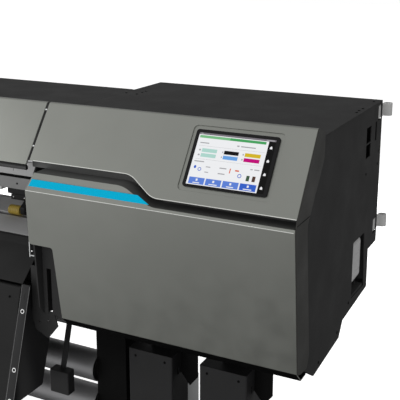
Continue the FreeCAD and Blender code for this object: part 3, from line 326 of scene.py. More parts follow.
def round_edges(piece, width):
    bevel = piece.modifiers.new("rounded", "BEVEL")
    bevel.width = width
    bevel.segments = 2
    bevel.limit_method = "ANGLE"
    bevel.angle_limit = BEVEL_ANGLE
    bevel.use_clamp_overlap = True
    normals = piece.modifiers.new("flat faces", "WEIGHTED_NORMAL")
    normals.mode = "FACE_AREA_WITH_ANGLE"
    normals.weight = 50
    normals.keep_sharp = True


def slot_of(node):
    for part in frame["record"]["subparts"]:
        if part["node"] == node:
            return part["material_slot"]
    return None


def refined(node, width, finish, choose, others):
    """Stand a copy of a CAD node, with rounded edges and its own finishes, in its place."""
    mesh = bpy.data.meshes.new(node + "_skin")
    for name in (finish, *others):
        mesh.materials.append(M[name])
    work = bmesh.new()
    work.from_mesh(frame["nodes"][node].data)
    bmesh.ops.remove_doubles(work, verts=work.verts, dist=MERGE_DISTANCE)
    bmesh.ops.dissolve_limit(work, angle_limit=FLAT_ANGLE, verts=work.verts, edges=work.edges)
    for face in work.faces:
        face.smooth = True
        face.material_index = choose(face.calc_center_median(), face.normal) if choose else 0
    work.to_mesh(mesh)
    work.free()
    piece = link(bpy.data.objects.new(node + "_skin", mesh))
    round_edges(piece, width)
    settle(piece)
    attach(piece, frame["nodes"][node]["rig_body"])
    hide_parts(node)


# where the finishes of one node meet: Z unless it says ahead, which is in millimetres
LIP_TOP = 0.9385
GROOVE_AHEAD, GROOVE_LOW = 767.0, 1.325
GRIP_TOP = 1.388
BEAM_SKIN_AHEAD, LIGHT_BAND_LOW, JOINT_LOW = 445.4, 1.258, 1.2425
PLATEN_LIP_AHEAD = 626.5
LEGS = ((1.100, 1), (-1.250, -1))  # X of the middle, and the side of its outer face
FOOT_TOP, GUSSET_LOW, GUIDE_TOP = 0.151, 0.64, 0.613
GUSSET_OFFSET, POST_OFFSETS = -0.245, (-0.123, 0.127)
POST_HALF, GUIDE_REACH = 0.0452, 0.0595
POST_AHEAD, GUSSET_AHEAD, GUIDE_AHEAD = (437.0, 339.0), (440.5, 436.5), 395.0
PINCH_Y, PINCH_Z, PIN_RADIUS = ahead(480), 1.1414, 0.0045
CORE_LEFT, CORE_RIGHT = -0.975, 0.825


def panel_choice(centre, _):
    """0 paint, 1 painted shade in the groove, 2 the black foot lip."""
    if centre.z < LIP_TOP:
        return 2
    return 1 if centre.y > ahead(GROOVE_AHEAD) and centre.z > GROOVE_LOW else 0


def cover_choice(centre, _):
    """0 paint, 1 the black grip under the hinged cover."""
    return 1 if centre.z < GRIP_TOP else 0


def beam_choice(centre, _):
    """0 aluminium beam, 1 light band, 2 dark joint, 3 mid-grey band."""
    if centre.y > ahead(BEAM_SKIN_AHEAD):
        return 0
    if centre.z > LIGHT_BAND_LOW:
        return 1
    return 2 if centre.z > JOINT_LOW else 3


def leg_choice(centre, _):
    """0 cladding, 1 black posts and gussets, 2 zinc guides."""
    middle, side = LEGS[0] if centre.x > 0 else LEGS[1]
    offset = side * (centre.x - middle)
    if centre.z < FOOT_TOP:
        return 0
    if offset < GUSSET_OFFSET:
        return 1
    in_post = ahead(POST_AHEAD[0]) < centre.y < ahead(POST_AHEAD[1])
    in_guide = centre.y > ahead(GUIDE_AHEAD) and centre.z < GUIDE_TOP
    for post in POST_OFFSETS:
        if abs(offset - post) < POST_HALF and in_post:
            return 1
        if post + POST_HALF < offset < post + GUIDE_REACH and in_guide:
            return 2
    in_gusset = ahead(GUSSET_AHEAD[0]) < centre.y < ahead(GUSSET_AHEAD[1])
    return 1 if in_gusset and centre.z > GUSSET_LOW else 0


def platen_choice(centre, _):
    """0 table, 1 the black front lip."""
    return 1 if centre.y < ahead(PLATEN_LIP_AHEAD) else 0


def arm_choice(centre, normal):
    """0 black arm, 1 the steel pin."""
    near_pin = math.hypot(centre.y - PINCH_Y, centre.z - PINCH_Z) < PIN_RADIUS
    return 1 if near_pin and abs(normal.x) < 0.5 else 0


def shaft_choice(centre, _):
    """0 grey core and flanges, 1 the steel journals."""
    return 1 if centre.x < CORE_LEFT or centre.x > CORE_RIGHT else 0


# bevel width in millimetres, first finish, choice of finish, and the finishes it may choose;
# a node that isn't here has the plain bevel and the finish of its own slot
PLAIN_BEVEL = 0.7
SPECIAL_NODES = {
    "right_lower_panel": (1.4, "cover_grey", panel_choice, ("groove_black", "deep_black")),
    "left_front_panels": (1.4, "cover_grey", panel_choice, ("groove_black", "deep_black")),
    "right_upper_panel": (1.8, "cover_grey", None, ()),
    "platen": (0.7, "table_grey", platen_choice, ("duct_black",)),
    "stretcher_tubes": (0.7, "tube_grey", None, ()),
    "front_cover": (1.8, "cover_grey", cover_choice, ("black_plastic",)),
    "rail_beam": (0.6, "aluminium", beam_choice, ("light_cover", "deep_black", "mid_cover")),
    "right_leg": (0.9, "frame_black", leg_choice, ("deep_black", "zinc")),
    "left_leg": (0.9, "frame_black", leg_choice, ("deep_black", "zinc")),
    "pinch_arms": (0.7, "frame_black", arm_choice, ("bright_steel",)),
    "takeup_shaft": (0.7, "grey_plastic", shaft_choice, ("steel",)),
    "supply_shaft": (0.7, "grey_plastic", shaft_choice, ("steel",)),
    "media_aprons": (0.7, "duct_black", None, ()),
    "dryer_duct": (0.7, "duct_black", None, ()),
    "dryer_end_plates": (0.0, "frame_black", None, ()),
    "side_frames": (0.6, "body_black", None, ()),
    "cover_screws": (0.3, "screw_black", None, ()),
    "drain_bottle": (0.5, "bottle_plastic", None, ()),
    "touch_screen": (0.8, "screen_glass", None, ()),
    "accent_stripe": (0.15, "cyan_film", None, ()),
}


def refine_all():
    for node in sorted(frame["nodes"]):
        plain = (PLAIN_BEVEL, slot_of(node), None, ())
        width, finish, choose, others = SPECIAL_NODES.get(node, plain)
        refined(node, width * MM, finish, choose, others)


refine_all()


# --- small parts -----------------------------------------------------------------------
SCREW_SIDES = 18
SOCKET_SHARE = 0.44
# button head, from its rim to the floor of its socket: share of the radius, and height
SCREW_PROFILE = (
    (1.0, 0.0), (0.96, 0.28), (0.74, 0.52), (0.48, 0.58),
    (SOCKET_SHARE, 0.56), (SOCKET_SHARE, 0.18),
)


def polar(centre, turn, radius, angle, lift):
    """Point round a centre, at a height along the axis that the turn gives."""
    across, along = radius * math.cos(angle), radius * math.sin(angle)
    return centre + turn @ Vector((across, along, lift))


def circle(centre, turn, radius, sides, lift=0.0):
    return [polar(centre, turn, radius, 2 * math.pi * i / sides, lift) for i in range(sides)]


def hexagon_reach(angle):
    """Distance to a hexagon's edge at an angle: 0.9 at its flats, and more at its corners."""
    return 1.0 / math.cos((angle + math.pi / 6) % (math.pi / 3) - math.pi / 6) * 0.9


class Kit:
    """One added piece: closed solids in one finish that ride on one body."""

    def __init__(self, name, body, finish, slot):
        self.name = name
        self.body = body
        self.finish = finish
        self.slot = slot
        self.work = bmesh.new()

    def add(self, points, faces):
        verts = [self.work.verts.new(p) for p in points]
        for face in faces:
            self.work.faces.new([verts[i] for i in face])

    def sweep(self, rings):
        """Equal rings of points joined one after the other, with both ends closed."""
        count = len(rings[0])
        last = (len(rings) - 1) * count
        faces = [list(range(count))[::-1], list(range(last, last + count))]
        for k in range(0, last, count):
            for i in range(count):
                j = (i + 1) % count
                faces.append([k + i, k + j, k + count + j, k + count + i])
        self.add([p for ring in rings for p in ring], faces)

    def prism(self, ring, shift):
        """A closed ring of points pushed along the shift vector."""
        shift = Vector(shift)
        self.sweep([[Vector(p) for p in ring], [Vector(p) + shift for p in ring]])

    def bar(self, x, section):
        """A section of (ahead, up) points in millimetres, drawn out across X."""
        self.prism([(x[0], ahead(d), z * MM) for d, z in section], (x[1] - x[0], 0, 0))

    def block(self, x, y, z):
        ring = [(x[0], y[0], z[0]), (x[1], y[0], z[0]), (x[1], y[1], z[0]), (x[0], y[1], z[0])]
        self.prism(ring, (0, 0, z[1] - z[0]))

    def rod(self, start, end, radius, sides=24):
        start, end = Vector(start), Vector(end)
        turn = (end - start).to_track_quat("Z", "Y")
        self.sweep([circle(start, turn, radius, sides), circle(end, turn, radius, sides)])

    def ring(self, centre, axis, outer, inner, height, sides=32):
        """A washer with a square section."""
        centre = Vector(centre)
        turn = Vector(axis).to_track_quat("Z", "Y")
        section = ((outer, 0), (outer, height), (inner, height), (inner, 0))
        points = []
        for radius, lift in section:
            points += circle(centre, turn, radius, sides, lift)
        faces = []
        for k in range(len(section)):
            m = (k + 1) % len(section)
            for i in range(sides):
                j = (i + 1) % sides
                faces.append([k * sides + i, k * sides + j, m * sides + j, m * sides + i])
        self.add(points, faces)

    def screw(self, place, axis, radius):
        """Button head with a hexagon socket."""
        place = Vector(place)
        turn = Vector(axis).to_track_quat("Z", "Y")
        rings = []
        for share, height in SCREW_PROFILE:
            ring = []
            for i in range(SCREW_SIDES):
                angle = 2 * math.pi * i / SCREW_SIDES
                reach = radius * share
                if share == SOCKET_SHARE:
                    reach *= hexagon_reach(angle)
                ring.append(polar(place, turn, reach, angle, radius * height))
            rings.append(ring)
        self.sweep(rings)

    def done(self, bevel=0.0):
        bmesh.ops.recalc_face_normals(self.work, faces=self.work.faces)
        for face in self.work.faces:
            face.smooth = True
        mesh = bpy.data.meshes.new(self.name)
        self.work.to_mesh(mesh)
        self.work.free()
        mesh.materials.append(M[self.finish])
        piece = link(bpy.data.objects.new(self.name, mesh))
        if bevel:
            round_edges(piece, bevel)
        else:
            piece.modifiers.new("edges", "EDGE_SPLIT").split_angle = SPLIT_ANGLE
        settle(piece)
        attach(piece, self.body)


# --- the sloping front and its display -------------------------------------------------
SLANT_AHEAD, SLANT_LOW = 764.6, 1.354  # lower edge of the sloping front: mm ahead, and Z
SLOPE = math.atan2(0.196, 0.1376)  # its rise over its run
SLANT_OUT = Vector((0, -math.sin(SLOPE), math.cos(SLOPE)))

SCREEN_LEFT, SCREEN_RIGHT = 1.2155, 1.4270
SCREEN_LOW, SCREEN_HIGH = 0.0520, 0.1945  # up the slope
GLASS_FACE = 1.5 * MM
# heights over the glass: the grounds, the marks on them, and the icons on the buttons
GROUND_TOP, MARK_TOP, ICON_TOP = mm(0.14, 0.26, 0.38)

# shares of the display, each tile as (left, right, top, bottom)
DISPLAY_GROUNDS = (
    ("display_white", "ui_white", [(0.0, 0.915, 0.035, 1.0)]),
    ("display_line", "ui_line", [(0.0, 1.0, 0.0, 0.034)]),
    ("display_nav", "ui_black", [(0.916, 1.0, 0.035, 1.0)]),
)
DISPLAY_MARKS = (
    ("display_marks", "ui_grey", [
        (0.88, 0.98, 0.008, 0.026), (0.02, 0.05, 0.008, 0.026), (0.04, 0.16, 0.185, 0.205),
        (0.53, 0.56, 0.175, 0.20), (0.58, 0.77, 0.18, 0.20), (0.05, 0.075, 0.32, 0.35),
        (0.05, 0.075, 0.415, 0.445), (0.36, 0.372, 0.32, 0.35), (0.36, 0.372, 0.415, 0.445),
        (0.625, 0.642, 0.32, 0.35), (0.625, 0.642, 0.415, 0.445), (0.03, 0.16, 0.545, 0.565),
        (0.20, 0.26, 0.635, 0.652), (0.20, 0.25, 0.735, 0.752), (0.38, 0.47, 0.625, 0.645),
        (0.375, 0.465, 0.73, 0.75), (0.77, 0.80, 0.58, 0.60), (0.82, 0.885, 0.58, 0.60),
        (0.03, 0.89, 0.2505, 0.2535), (0.03, 0.89, 0.5055, 0.5085),
    ]),
    ("display_bar", "ui_green", [(0.42, 0.885, 0.05, 0.10)]),
    ("display_bar_done", "ui_pale_green", [(0.015, 0.42, 0.05, 0.10)]),
    ("display_teal", "ui_teal", [(0.09, 0.29, 0.30, 0.37), (0.09, 0.29, 0.395, 0.465)]),
    ("display_key", "ui_black", [(0.385, 0.575, 0.30, 0.37)]),
    ("display_sky", "ui_sky", [(0.385, 0.575, 0.395, 0.465)]),
    ("display_yellow", "ui_yellow", [(0.655, 0.855, 0.30, 0.37)]),
    ("display_magenta", "ui_magenta", [(0.655, 0.855, 0.395, 0.465)]),
    ("display_orange", "ui_orange", [(0.585, 0.635, 0.635, 0.66), (0.515, 0.527, 0.62, 0.71)]),
    ("display_moss", "ui_moss", [(0.745, 0.785, 0.71, 0.81)]),
    ("display_brown", "ui_brown", [(0.82, 0.86, 0.71, 0.81)]),
    ("display_buttons", "ui_blue", [
        (0.025, 0.23, 0.86, 0.985), (0.247, 0.45, 0.86, 0.985), (0.468, 0.672, 0.86, 0.985),
    ]),
    ("display_button_next", "ui_deep_blue", [(0.69, 0.895, 0.86, 0.985)]),
    ("display_nav_top", "ui_black", [(0.918, 0.998, 0.037, 0.27)]),
)
BUTTON_MIDDLES = (0.128, 0.349, 0.57, 0.793)
BUTTON_ICON_HALF = 0.012
NAV_MIDDLES = (0.15, 0.40, 0.65, 0.90)
RING_INNER_SHARE = 0.66
DROP_SIDES = 14


def on_slant(x, s, h):
    """Point on the sloping front: across, up the slope from its lower edge, out of it."""
    y = ahead(SLANT_AHEAD) + s * math.cos(SLOPE) - h * math.sin(SLOPE)
    z = SLANT_LOW + s * math.sin(SLOPE) + h * math.cos(SLOPE)
    return Vector((x, y, z))


def slant_strip(kit, x, s, h):
    """A bar across X that lies along the sloping front."""
    section = ((s[0], h[0]), (s[1], h[0]), (s[1], h[1]), (s[0], h[1]))
    kit.prism([on_slant(x[0], up, out) for up, out in section], (x[1] - x[0], 0, 0))


def screen_point(a, b, h):
    """Point over the glass, from shares across and down the display."""
    x = SCREEN_LEFT + a * (SCREEN_RIGHT - SCREEN_LEFT)
    s = SCREEN_HIGH - b * (SCREEN_HIGH - SCREEN_LOW)
    return on_slant(x, s, GLASS_FACE + h)


def screen_prism(kit, outline, low, high):
    kit.prism([screen_point(a, b, low) for a, b in outline], (high - low) * SLANT_OUT)


def screen_tile(kit, tile, low, high):
    left, right, top, bottom = tile
    outline = ((left, bottom), (right, bottom), (right, top), (left, top))
    screen_prism(kit, outline, low, high)


def display_kit(name, finish):
    return Kit(name, "machine", finish, "screen_glass")


def display():
    """Generic blocks of colour in thin raised solids, with no lettering."""
    layers = ((DISPLAY_GROUNDS, 0, GROUND_TOP), (DISPLAY_MARKS, GROUND_TOP, MARK_TOP))
    for table, low, high in layers:
        for name, finish, tiles in table:
            kit = display_kit(name, finish)
            for tile in tiles:
                screen_tile(kit, tile, low, high)
            kit.done()
    icons = display_kit("display_icons", "ui_white")
    for i, a in enumerate(BUTTON_MIDDLES):
        screen_tile(icons, (*around(a, BUTTON_ICON_HALF), 0.885, 0.925), MARK_TOP, ICON_TOP)
        line_half = 0.045 + 0.008 * (i % 2)
        screen_tile(icons, (*around(a, line_half), 0.952, 0.968), MARK_TOP, ICON_TOP)
    lift = (ICON_TOP - MARK_TOP) * SLANT_OUT
    for b in NAV_MIDDLES:
        house = ((0.943, b + 0.025), (0.973, b + 0.025), (0.973, b - 0.005), (0.958, b - 0.03),
                 (0.943, b - 0.005))
        icons.prism([screen_point(p, q, GROUND_TOP) for p, q in house], lift * 2)
    icons.done()
    rings = display_kit("display_rings", "ui_deep_blue")
    for a, b, radius in ((0.125, 0.70, 5.0 * MM), (0.655, 0.735, 5.4 * MM)):
        place, inner = screen_point(a, b, GROUND_TOP), radius * RING_INNER_SHARE
        rings.ring(place, SLANT_OUT, radius, inner, MARK_TOP - GROUND_TOP, 24)
    rings.done()
    drop = display_kit("display_drop", "ui_deep_blue")
    rim = []
    for i in range(DROP_SIDES):
        t = 2 * math.pi * i / DROP_SIDES
        rim.append((0.06 + 0.016 * math.cos(t), 0.665 + 0.030 * math.sin(t)))
    drop.prism([screen_point(p, q, GROUND_TOP) for p, q in rim], lift)
    drop.done()


# --- details of the front --------------------------------------------------------------
STEP_CORNERS = ((0.730, 1.399), (1.050, 1.399), (1.130, SLANT_LOW), (1.524, SLANT_LOW))
STEP_ROUND = 0.075
ROUND_STEPS = 8
# section of the painted highlight along the lower edge: up the slope, and out of it
HEM_SECTION = mm_pairs((0.2, -0.6), (0.0, 0.15), (0.5, 0.35), (2.0, 0.25), (2.0, -0.6))
GAP_TOP_SECTION = ((626, 1546), (592, 1534.5), (592, 1530), (626, 1541))
# section of the painted highlight strip on the fascia's crease: (ahead, up) in millimetres
CREASE_SECTION = (
    (775.75, 1325.9), (775.9, 1325.0), (775.7, 1324.0), (775.2, 1324.0), (775.2, 1325.9),
)


def cover_gaps():
    """Dark strips of painted shade, and two clips each, in the gaps at the two ends of the hinged
    cover.
    """
    kit = Kit("cover_gap_shade_strips", "machine", "gasket", "black_plastic")
    for x in (mm(709.6, 716.6), mm(-989.6, -982.6)):
        # black strips sunk in each gap: painted shade
        slant_strip(kit, x, mm(57.0, 236.0), mm(-5.5, -1.0))
        kit.bar(x, GAP_TOP_SECTION)
    kit.done(0.3 * MM)
    for side, x in (("right", 713.1), ("left", -986.1)):
        clips = Kit(f"cover_gap_clips_{side}", "machine", "zinc", "steel")
        for s in mm(100, 214):
            slant_strip(clips, around(x * MM, 0.003), around(s, 0.002), mm(-1.2, -0.7))
        clips.done()


def step_path():
    """The bent lower edge of the sloping panel as (x, z), with its two round corners."""
    points = [Vector(STEP_CORNERS[0])]
    for before, here, after in zip(STEP_CORNERS, STEP_CORNERS[1:], STEP_CORNERS[2:]):
        here = Vector(here)
        a = (Vector(before) - here).normalized()
        b = (Vector(after) - here).normalized()
        half = a.angle(b) / 2
        reach = STEP_ROUND / math.tan(half)
        centre = here + (a + b).normalized() * (STEP_ROUND / math.sin(half))
        start = here + a * reach - centre
        stop = here + b * reach - centre
        for i in range(ROUND_STEPS + 1):
            points.append(centre + start.slerp(stop, i / ROUND_STEPS) * STEP_ROUND)
    points.append(Vector(STEP_CORNERS[-1]))
    return points


def hem_highlight_strip():
    """Painted highlight: a bright strip along the foot of the sloping panel, where its lower edge
    catches the light.
    """
    kit = Kit("hem_highlight_strip", "machine", "edge_light", "cover_grey")
    rings = []
    for x, z in step_path():
        s = (z - SLANT_LOW) / math.sin(SLOPE)
        rings.append([on_slant(x, s + ds, h) for ds, h in HEM_SECTION])
    kit.sweep(rings)
    kit.done()


def fascia_crease_highlights():
    """Painted highlight: a bright strip along the crease where the fascia bends."""
    kit = Kit("fascia_crease_highlights", "machine", "edge_light", "cover_grey")
    for x in (mm(733, 1522), mm(-1522, -1006)):
        kit.bar(x, CREASE_SECTION)
    kit.done()


def beam_screws():
    """Screws and seams of the light covers on the rail beam."""
    kit = Kit("beam_cover_screws", "machine", "screw_black", "frame_black")
    for i, x in enumerate(row(-0.945, 0.0765, 22)):
        kit.screw((x, ahead(451.5), 1.222), FORWARD, 3.4 * MM)
        if i % 2:
            kit.screw((x + 0.02, ahead(450.2), 1.284), (0, -1, 0.12), 2.6 * MM)
    kit.done()
    seams = Kit("beam_cover_seams", "machine", "gasket", "black_plastic")
    for x in mm(-700, -420, -140, 140, 420, 690):
        seams.block(around(x, 0.0004), aheads(452.1, 448), mm(1264, 1297))
    seams.done()


PINCH_PLACES = row(-0.872, 1.507 / 8, 9)  # X of the pinch rollers
FEED_Z = 1.1125


def pinch_details():
    """Painted shade for the grooves of the pinch rollers, as darker amber rings, and the screws of
    their arms.
    """
    grooves = Kit("pinch_roller_groove_shade", "pinch_wheels", "amber_dark", "amber_rubber")
    for x in PINCH_PLACES:
        # darker amber rings at the roller's surface: painted shade in the grooves
        for offset in mm(-17, -10.5, -3.5, 3.5, 10.5, 17):
            place = (x + offset - 0.0006, PINCH_Y, PINCH_Z)
            grooves.ring(place, ACROSS, 16.12 * MM, 15.2 * MM, 1.2 * MM, 40)
    grooves.done()
    caps = Kit("pinch_arm_screws", "pinch_lift", "bright_steel", "steel")
    for x in PINCH_PLACES:
        caps.screw((x + 0.047, PINCH_Y, PINCH_Z), ACROSS, 4.2 * MM)
        caps.screw((x + 0.010, ahead(448), 1.173), FORWARD, 3.0 * MM)
        caps.screw((x - 0.036, ahead(448), 1.173), FORWARD, 3.0 * MM)
    caps.done()


def feed_details():
    """Raised bands on the feed roller under each pinch roller."""
    kit = Kit("feed_roller_bands", "feed", "steel", "steel")
    for x in PINCH_PLACES:
        for offset in mm(-29, -14.5, 0, 14.5, 29):
            place = (x + offset - 0.0004, PINCH_Y, FEED_Z)
            kit.ring(place, ACROSS, 12.56 * MM, 12.0 * MM, 0.8 * MM, 40)
    kit.done()


def notch_bits():
    """Bracket, studs and dark backing seen in the notch of the lower panel."""
    dark = Kit("notch_backing", "machine", "deep_black", "frame_black")
    dark.block(mm(600, 676), aheads(690, 687), mm(1013, 1060))
    dark.block(mm(669.5, 676), aheads(690, 687), mm(962, 1013.5))
    dark.done(0.4 * MM)
    kit = Kit("notch_bracket", "machine", "zinc", "steel")
    kit.block(mm(673, 676), aheads(700, 684), mm(1092, 1146))
    kit.block(mm(676, 717), aheads(700, 684), mm(1096, 1099))
    kit.block(mm(690, 692.5), aheads(699, 690), mm(1099, 1131))
    kit.block(mm(706, 708.5), aheads(699, 690), mm(1099, 1126))
    kit.done(0.4 * MM)
    studs = Kit("notch_studs", "machine", "bright_steel", "steel")
    for x, z in ((683, 1112), (699, 1120), (699, 1106), (713, 1112)):
        studs.rod((x * MM, ahead(700.5), z * MM), (x * MM, ahead(690), z * MM), 2.2 * MM, 12)
    studs.rod((0.7355, ahead(704.5), 0.9015), (0.7355, ahead(699), 0.9015), 2.0 * MM, 16)
    studs.rod((0.700, ahead(702), 0.892), (0.700, ahead(698), 0.892), 3.0 * MM, 16)
    studs.done()


# the sloping lip of a dryer end plate: (ahead, up) in millimetres, and its outward direction
DRYER_TOP = (733.0, 1017.0)
DRYER_FOOT = (845.0, 656.0)
DRYER_OUT = Vector((0, -0.955, 0.296))
DRYER_FACE_OUT = Vector((0, -0.96, 0.28))
# over the lip: the gap, the top of the painted highlight strips and of the painted-shade slot; then
# the strips' width
LIP_GAP, LIP_LINE_TOP, LIP_SLOT_TOP = mm(0.02, 0.25, 0.2)
LIP_LINE = 0.0009


def on_lip(x, drop, out):
    """Point on the sloping lip of a dryer end plate, a share of the way down it."""
    d = DRYER_TOP[0] + (DRYER_FOOT[0] - DRYER_TOP[0]) * drop
    z = DRYER_TOP[1] + (DRYER_FOOT[1] - DRYER_TOP[1]) * drop
    return Vector((x, ahead(d), z * MM)) + DRYER_OUT * out


def lip_strip(kit, x0, x1, top, foot, high):
    corners = ((x0, top), (x1, top), (x1, foot), (x0, foot))
    kit.prism([on_lip(x, drop, LIP_GAP) for x, drop in corners], DRYER_OUT * (high - LIP_GAP))


def dryer_details():
    """Painted highlights along the edges, painted shade for the slots, and screws of the dryer's
    end plates, and the screws of its face.
    """
    lines = Kit("dryer_lip_edge_highlights", "machine", "edge_grey", "frame_black")
    slots = Kit("dryer_lip_slot_shade", "machine", "gasket", "black_plastic")
    screws = Kit("dryer_lip_screws", "machine", "screw_black", "frame_black")
    washers = Kit("dryer_lip_washers", "machine", "bright_steel", "steel")
    for x0, x1 in (mm(668.3, 696.7), mm(-1001.7, -973.3)):
        # thin lighter strips on both edges of the lip: painted highlights
        lip_strip(lines, x0, x0 + LIP_LINE, 0.01, 0.985, LIP_LINE_TOP)
        lip_strip(lines, x1 - LIP_LINE, x1, 0.01, 0.985, LIP_LINE_TOP)
        middle = (x0 + x1) / 2
        # dark strip for the slot: painted shade
        lip_strip(slots, *around(middle, 0.002), 0.05, 0.115, LIP_SLOT_TOP)
        for share in (0.205, 0.66, 0.90):
            place = on_lip(middle, share, LIP_GAP)
            washers.ring(place, DRYER_OUT, 6.6 * MM, 4.3 * MM, 0.6 * MM)
            screws.screw(on_lip(middle, share, 0.05 * MM), DRYER_OUT, 4.2 * MM)
    for kit in (lines, slots, screws, washers):
        kit.done()
    face_screws = Kit("dryer_face_screws", "machine", "screw_black", "frame_black")
    for x in row(-0.93, 0.195, 9):
        for d, z in ((747.3, 0.976), (830.2, 0.692)):
            place = Vector((x, ahead(d), z)) + DRYER_FACE_OUT * 0.0002
            face_screws.screw(place, DRYER_FACE_OUT, 3.6 * MM)
    face_screws.done()


# --- details of the sides and the back -------------------------------------------------
# fixings on the rear face, each group as columns of X and rows of Z in millimetres
REAR_SCREWS = (
    ((760, 1000, 1240, 1480, -1033, -1273, -1480), (1495, 1075)),
    ((760, 1505, -1033), (1180, 1285, 1390)),
)
SIDE_DOTS = ((593, 1437), (636, 1383), (678, 1330), (25, 1361))
LOUVRE_LEFTS = (880, 1130, -1130, -1380)
FAN_X, FAN_Z = 1.0, 1.21
FAN_BARS = 4
SOCKETS = ((1150, 1120), (1185, 1120), (1220, 1120))
INLET_PINS = ((1283, 1116), (1295, 1116), (1289, 1125))


def rear_screws():
    kit = Kit("rear_panel_screws", "machine", "screw_black", "frame_black")
    for columns, rows in REAR_SCREWS:
        for x in columns:
            for z in rows:
                kit.screw((x * MM, REAR, z * MM), BACKWARD, 3.6 * MM)
    for x in row(-900, 190, 9):
        for z in (1.49, 1.30):
            kit.screw((x * MM, ahead(172), z), BACKWARD, 3.6 * MM)
    kit.done()


def side_seams():
    """The seam under each end cap, and the dots round it."""
    kit = Kit("end_cap_seams", "machine", "deep_black", "frame_black")
    for side in (1, -1):
        x = sorted((side * 1.5277, side * 1.5282))
        kit.block(x, aheads(769, 679), mm(1338.6, 1341.2))
        for d, z in SIDE_DOTS:
            start, end = ((side * out, ahead(d), z * MM) for out in (1.5249, 1.5258))
            kit.rod(start, end, 4.4 * MM, 16)
    kit.done()


def louvres():
    fins = Kit("rear_louvres", "machine", "body_black", "body_black")
    dark = Kit("rear_louvre_shadows", "machine", "gasket", "black_plastic")
    for x in LOUVRE_LEFTS:
        for z in row(1350, 13, 9):
            section = ((0.0001, z + 6), (0.0032, z), (0.0001, z))
            fins.prism([(x * MM, REAR + out, up * MM) for out, up in section], (0.15, 0, 0))
            dark.block(mm(x + 2, x + 148), (REAR + 0.00005, REAR + 0.0006), mm(z - 3.5, z - 0.2))
    fins.done()
    dark.done()


def fan():
    guard = Kit("fan_guard", "machine", "zinc", "steel")
    for radius in mm(12, 22, 32, 42, 52):
        inner, outer = around(radius, 0.0011)
        guard.ring((FAN_X, REAR + 0.001, FAN_Z), BACKWARD, outer, inner, 2.0 * MM, 48)
    for i in range(FAN_BARS):
        t = math.pi * i / FAN_BARS + math.pi / 8
        dx, dz = 0.056 * math.cos(t), 0.056 * math.sin(t)
        start, end = ((FAN_X + k * dx, REAR + 0.0026, FAN_Z + k * dz) for k in (-1, 1))
        guard.rod(start, end, 1.1 * MM, 10)
    guard.done()
    back = Kit("fan_shadow", "machine", "gasket", "black_plastic")
    back.rod((FAN_X, REAR + 0.0001, FAN_Z), (FAN_X, REAR + 0.0008, FAN_Z), 0.055, 48)
    back.done()


def sockets():
    """Sockets with a blank plate beside them, painted shade for their openings, and the inlet's
    pins.
    """
    plates = Kit("rear_sockets", "machine", "plate_silver", "steel")
    for x, z in SOCKETS:
        plates.block(mm(x - 9, x + 9), (REAR + 0.0001, REAR + 0.0016), mm(z - 8, z + 8))
    plates.block(mm(860, 940), (REAR + 0.0001, REAR + 0.0006), mm(1096, 1146))
    plates.done(0.2 * MM)
    holes = Kit("rear_socket_mouth_shade", "machine", "gasket", "black_plastic")
    for x, z in SOCKETS:
        # dark blocks for the socket openings: painted shade
        holes.block(mm(x - 6, x + 6), (REAR + 0.0017, REAR + 0.002), mm(z - 5, z + 5))
    holes.done()
    pins = Kit("inlet_pins", "machine", "brass", "brass")
    for x, z in INLET_PINS:
        pins.block(mm(x - 1, x + 1), aheads(14, 3), mm(z - 3, z + 3))
    pins.done(0.3 * MM)


def bottle_details():
    kit = Kit("drain_bottle_ribs", "bottle", "bottle_plastic", "light_plastic")
    for z in (1022, 1050, 1078):
        kit.block(mm(1518.6, 1519.5), aheads(236, 170), mm(z - 2, z + 2))
    kit.done(0.3 * MM)


# --- details of the trays, the stand, the shafts and the carriages ---------------------
TAGS = (
    ("tag_cyan", "cyan_film"), ("tag_magenta", "grey_plastic"),
    ("tag_yellow", "grey_plastic"), ("tag_grey", "grey_plastic"),
)


def tray_details():
    """Coloured tag, lamp and grip ribs on each ink tray."""
    for i, (finish, slot) in enumerate(TAGS):
        x = -1.393 + i * 0.090
        body = f"tray_{i + 1}"
        tag = Kit(f"ink_tag_{i + 1}", body, finish, slot)
        tag.block(around(x, 0.024), aheads(741.6, 739), mm(962, 972))
        tag.done(0.4 * MM)
        lamp = Kit(f"ink_lamp_{i + 1}", body, "lamp_green", "light_plastic")
        lamp.rod((x + 0.028, ahead(750), 1.046), (x + 0.028, ahead(751.3), 1.046), 1.8 * MM, 16)
        lamp.done()
        ribs = Kit(f"ink_grip_ribs_{i + 1}", body, "black_plastic", "black_plastic")
        for z in (988, 996, 1004, 1012, 1020):
            front = 738.0 + (z - 948.0) * 16.0 / 152.0  # the tray's face leans forward
            ribs.block(around(x, 0.026), aheads(front + 0.8, front - 1), mm(z - 1.4, z + 1.4))
        ribs.done(0.3 * MM)


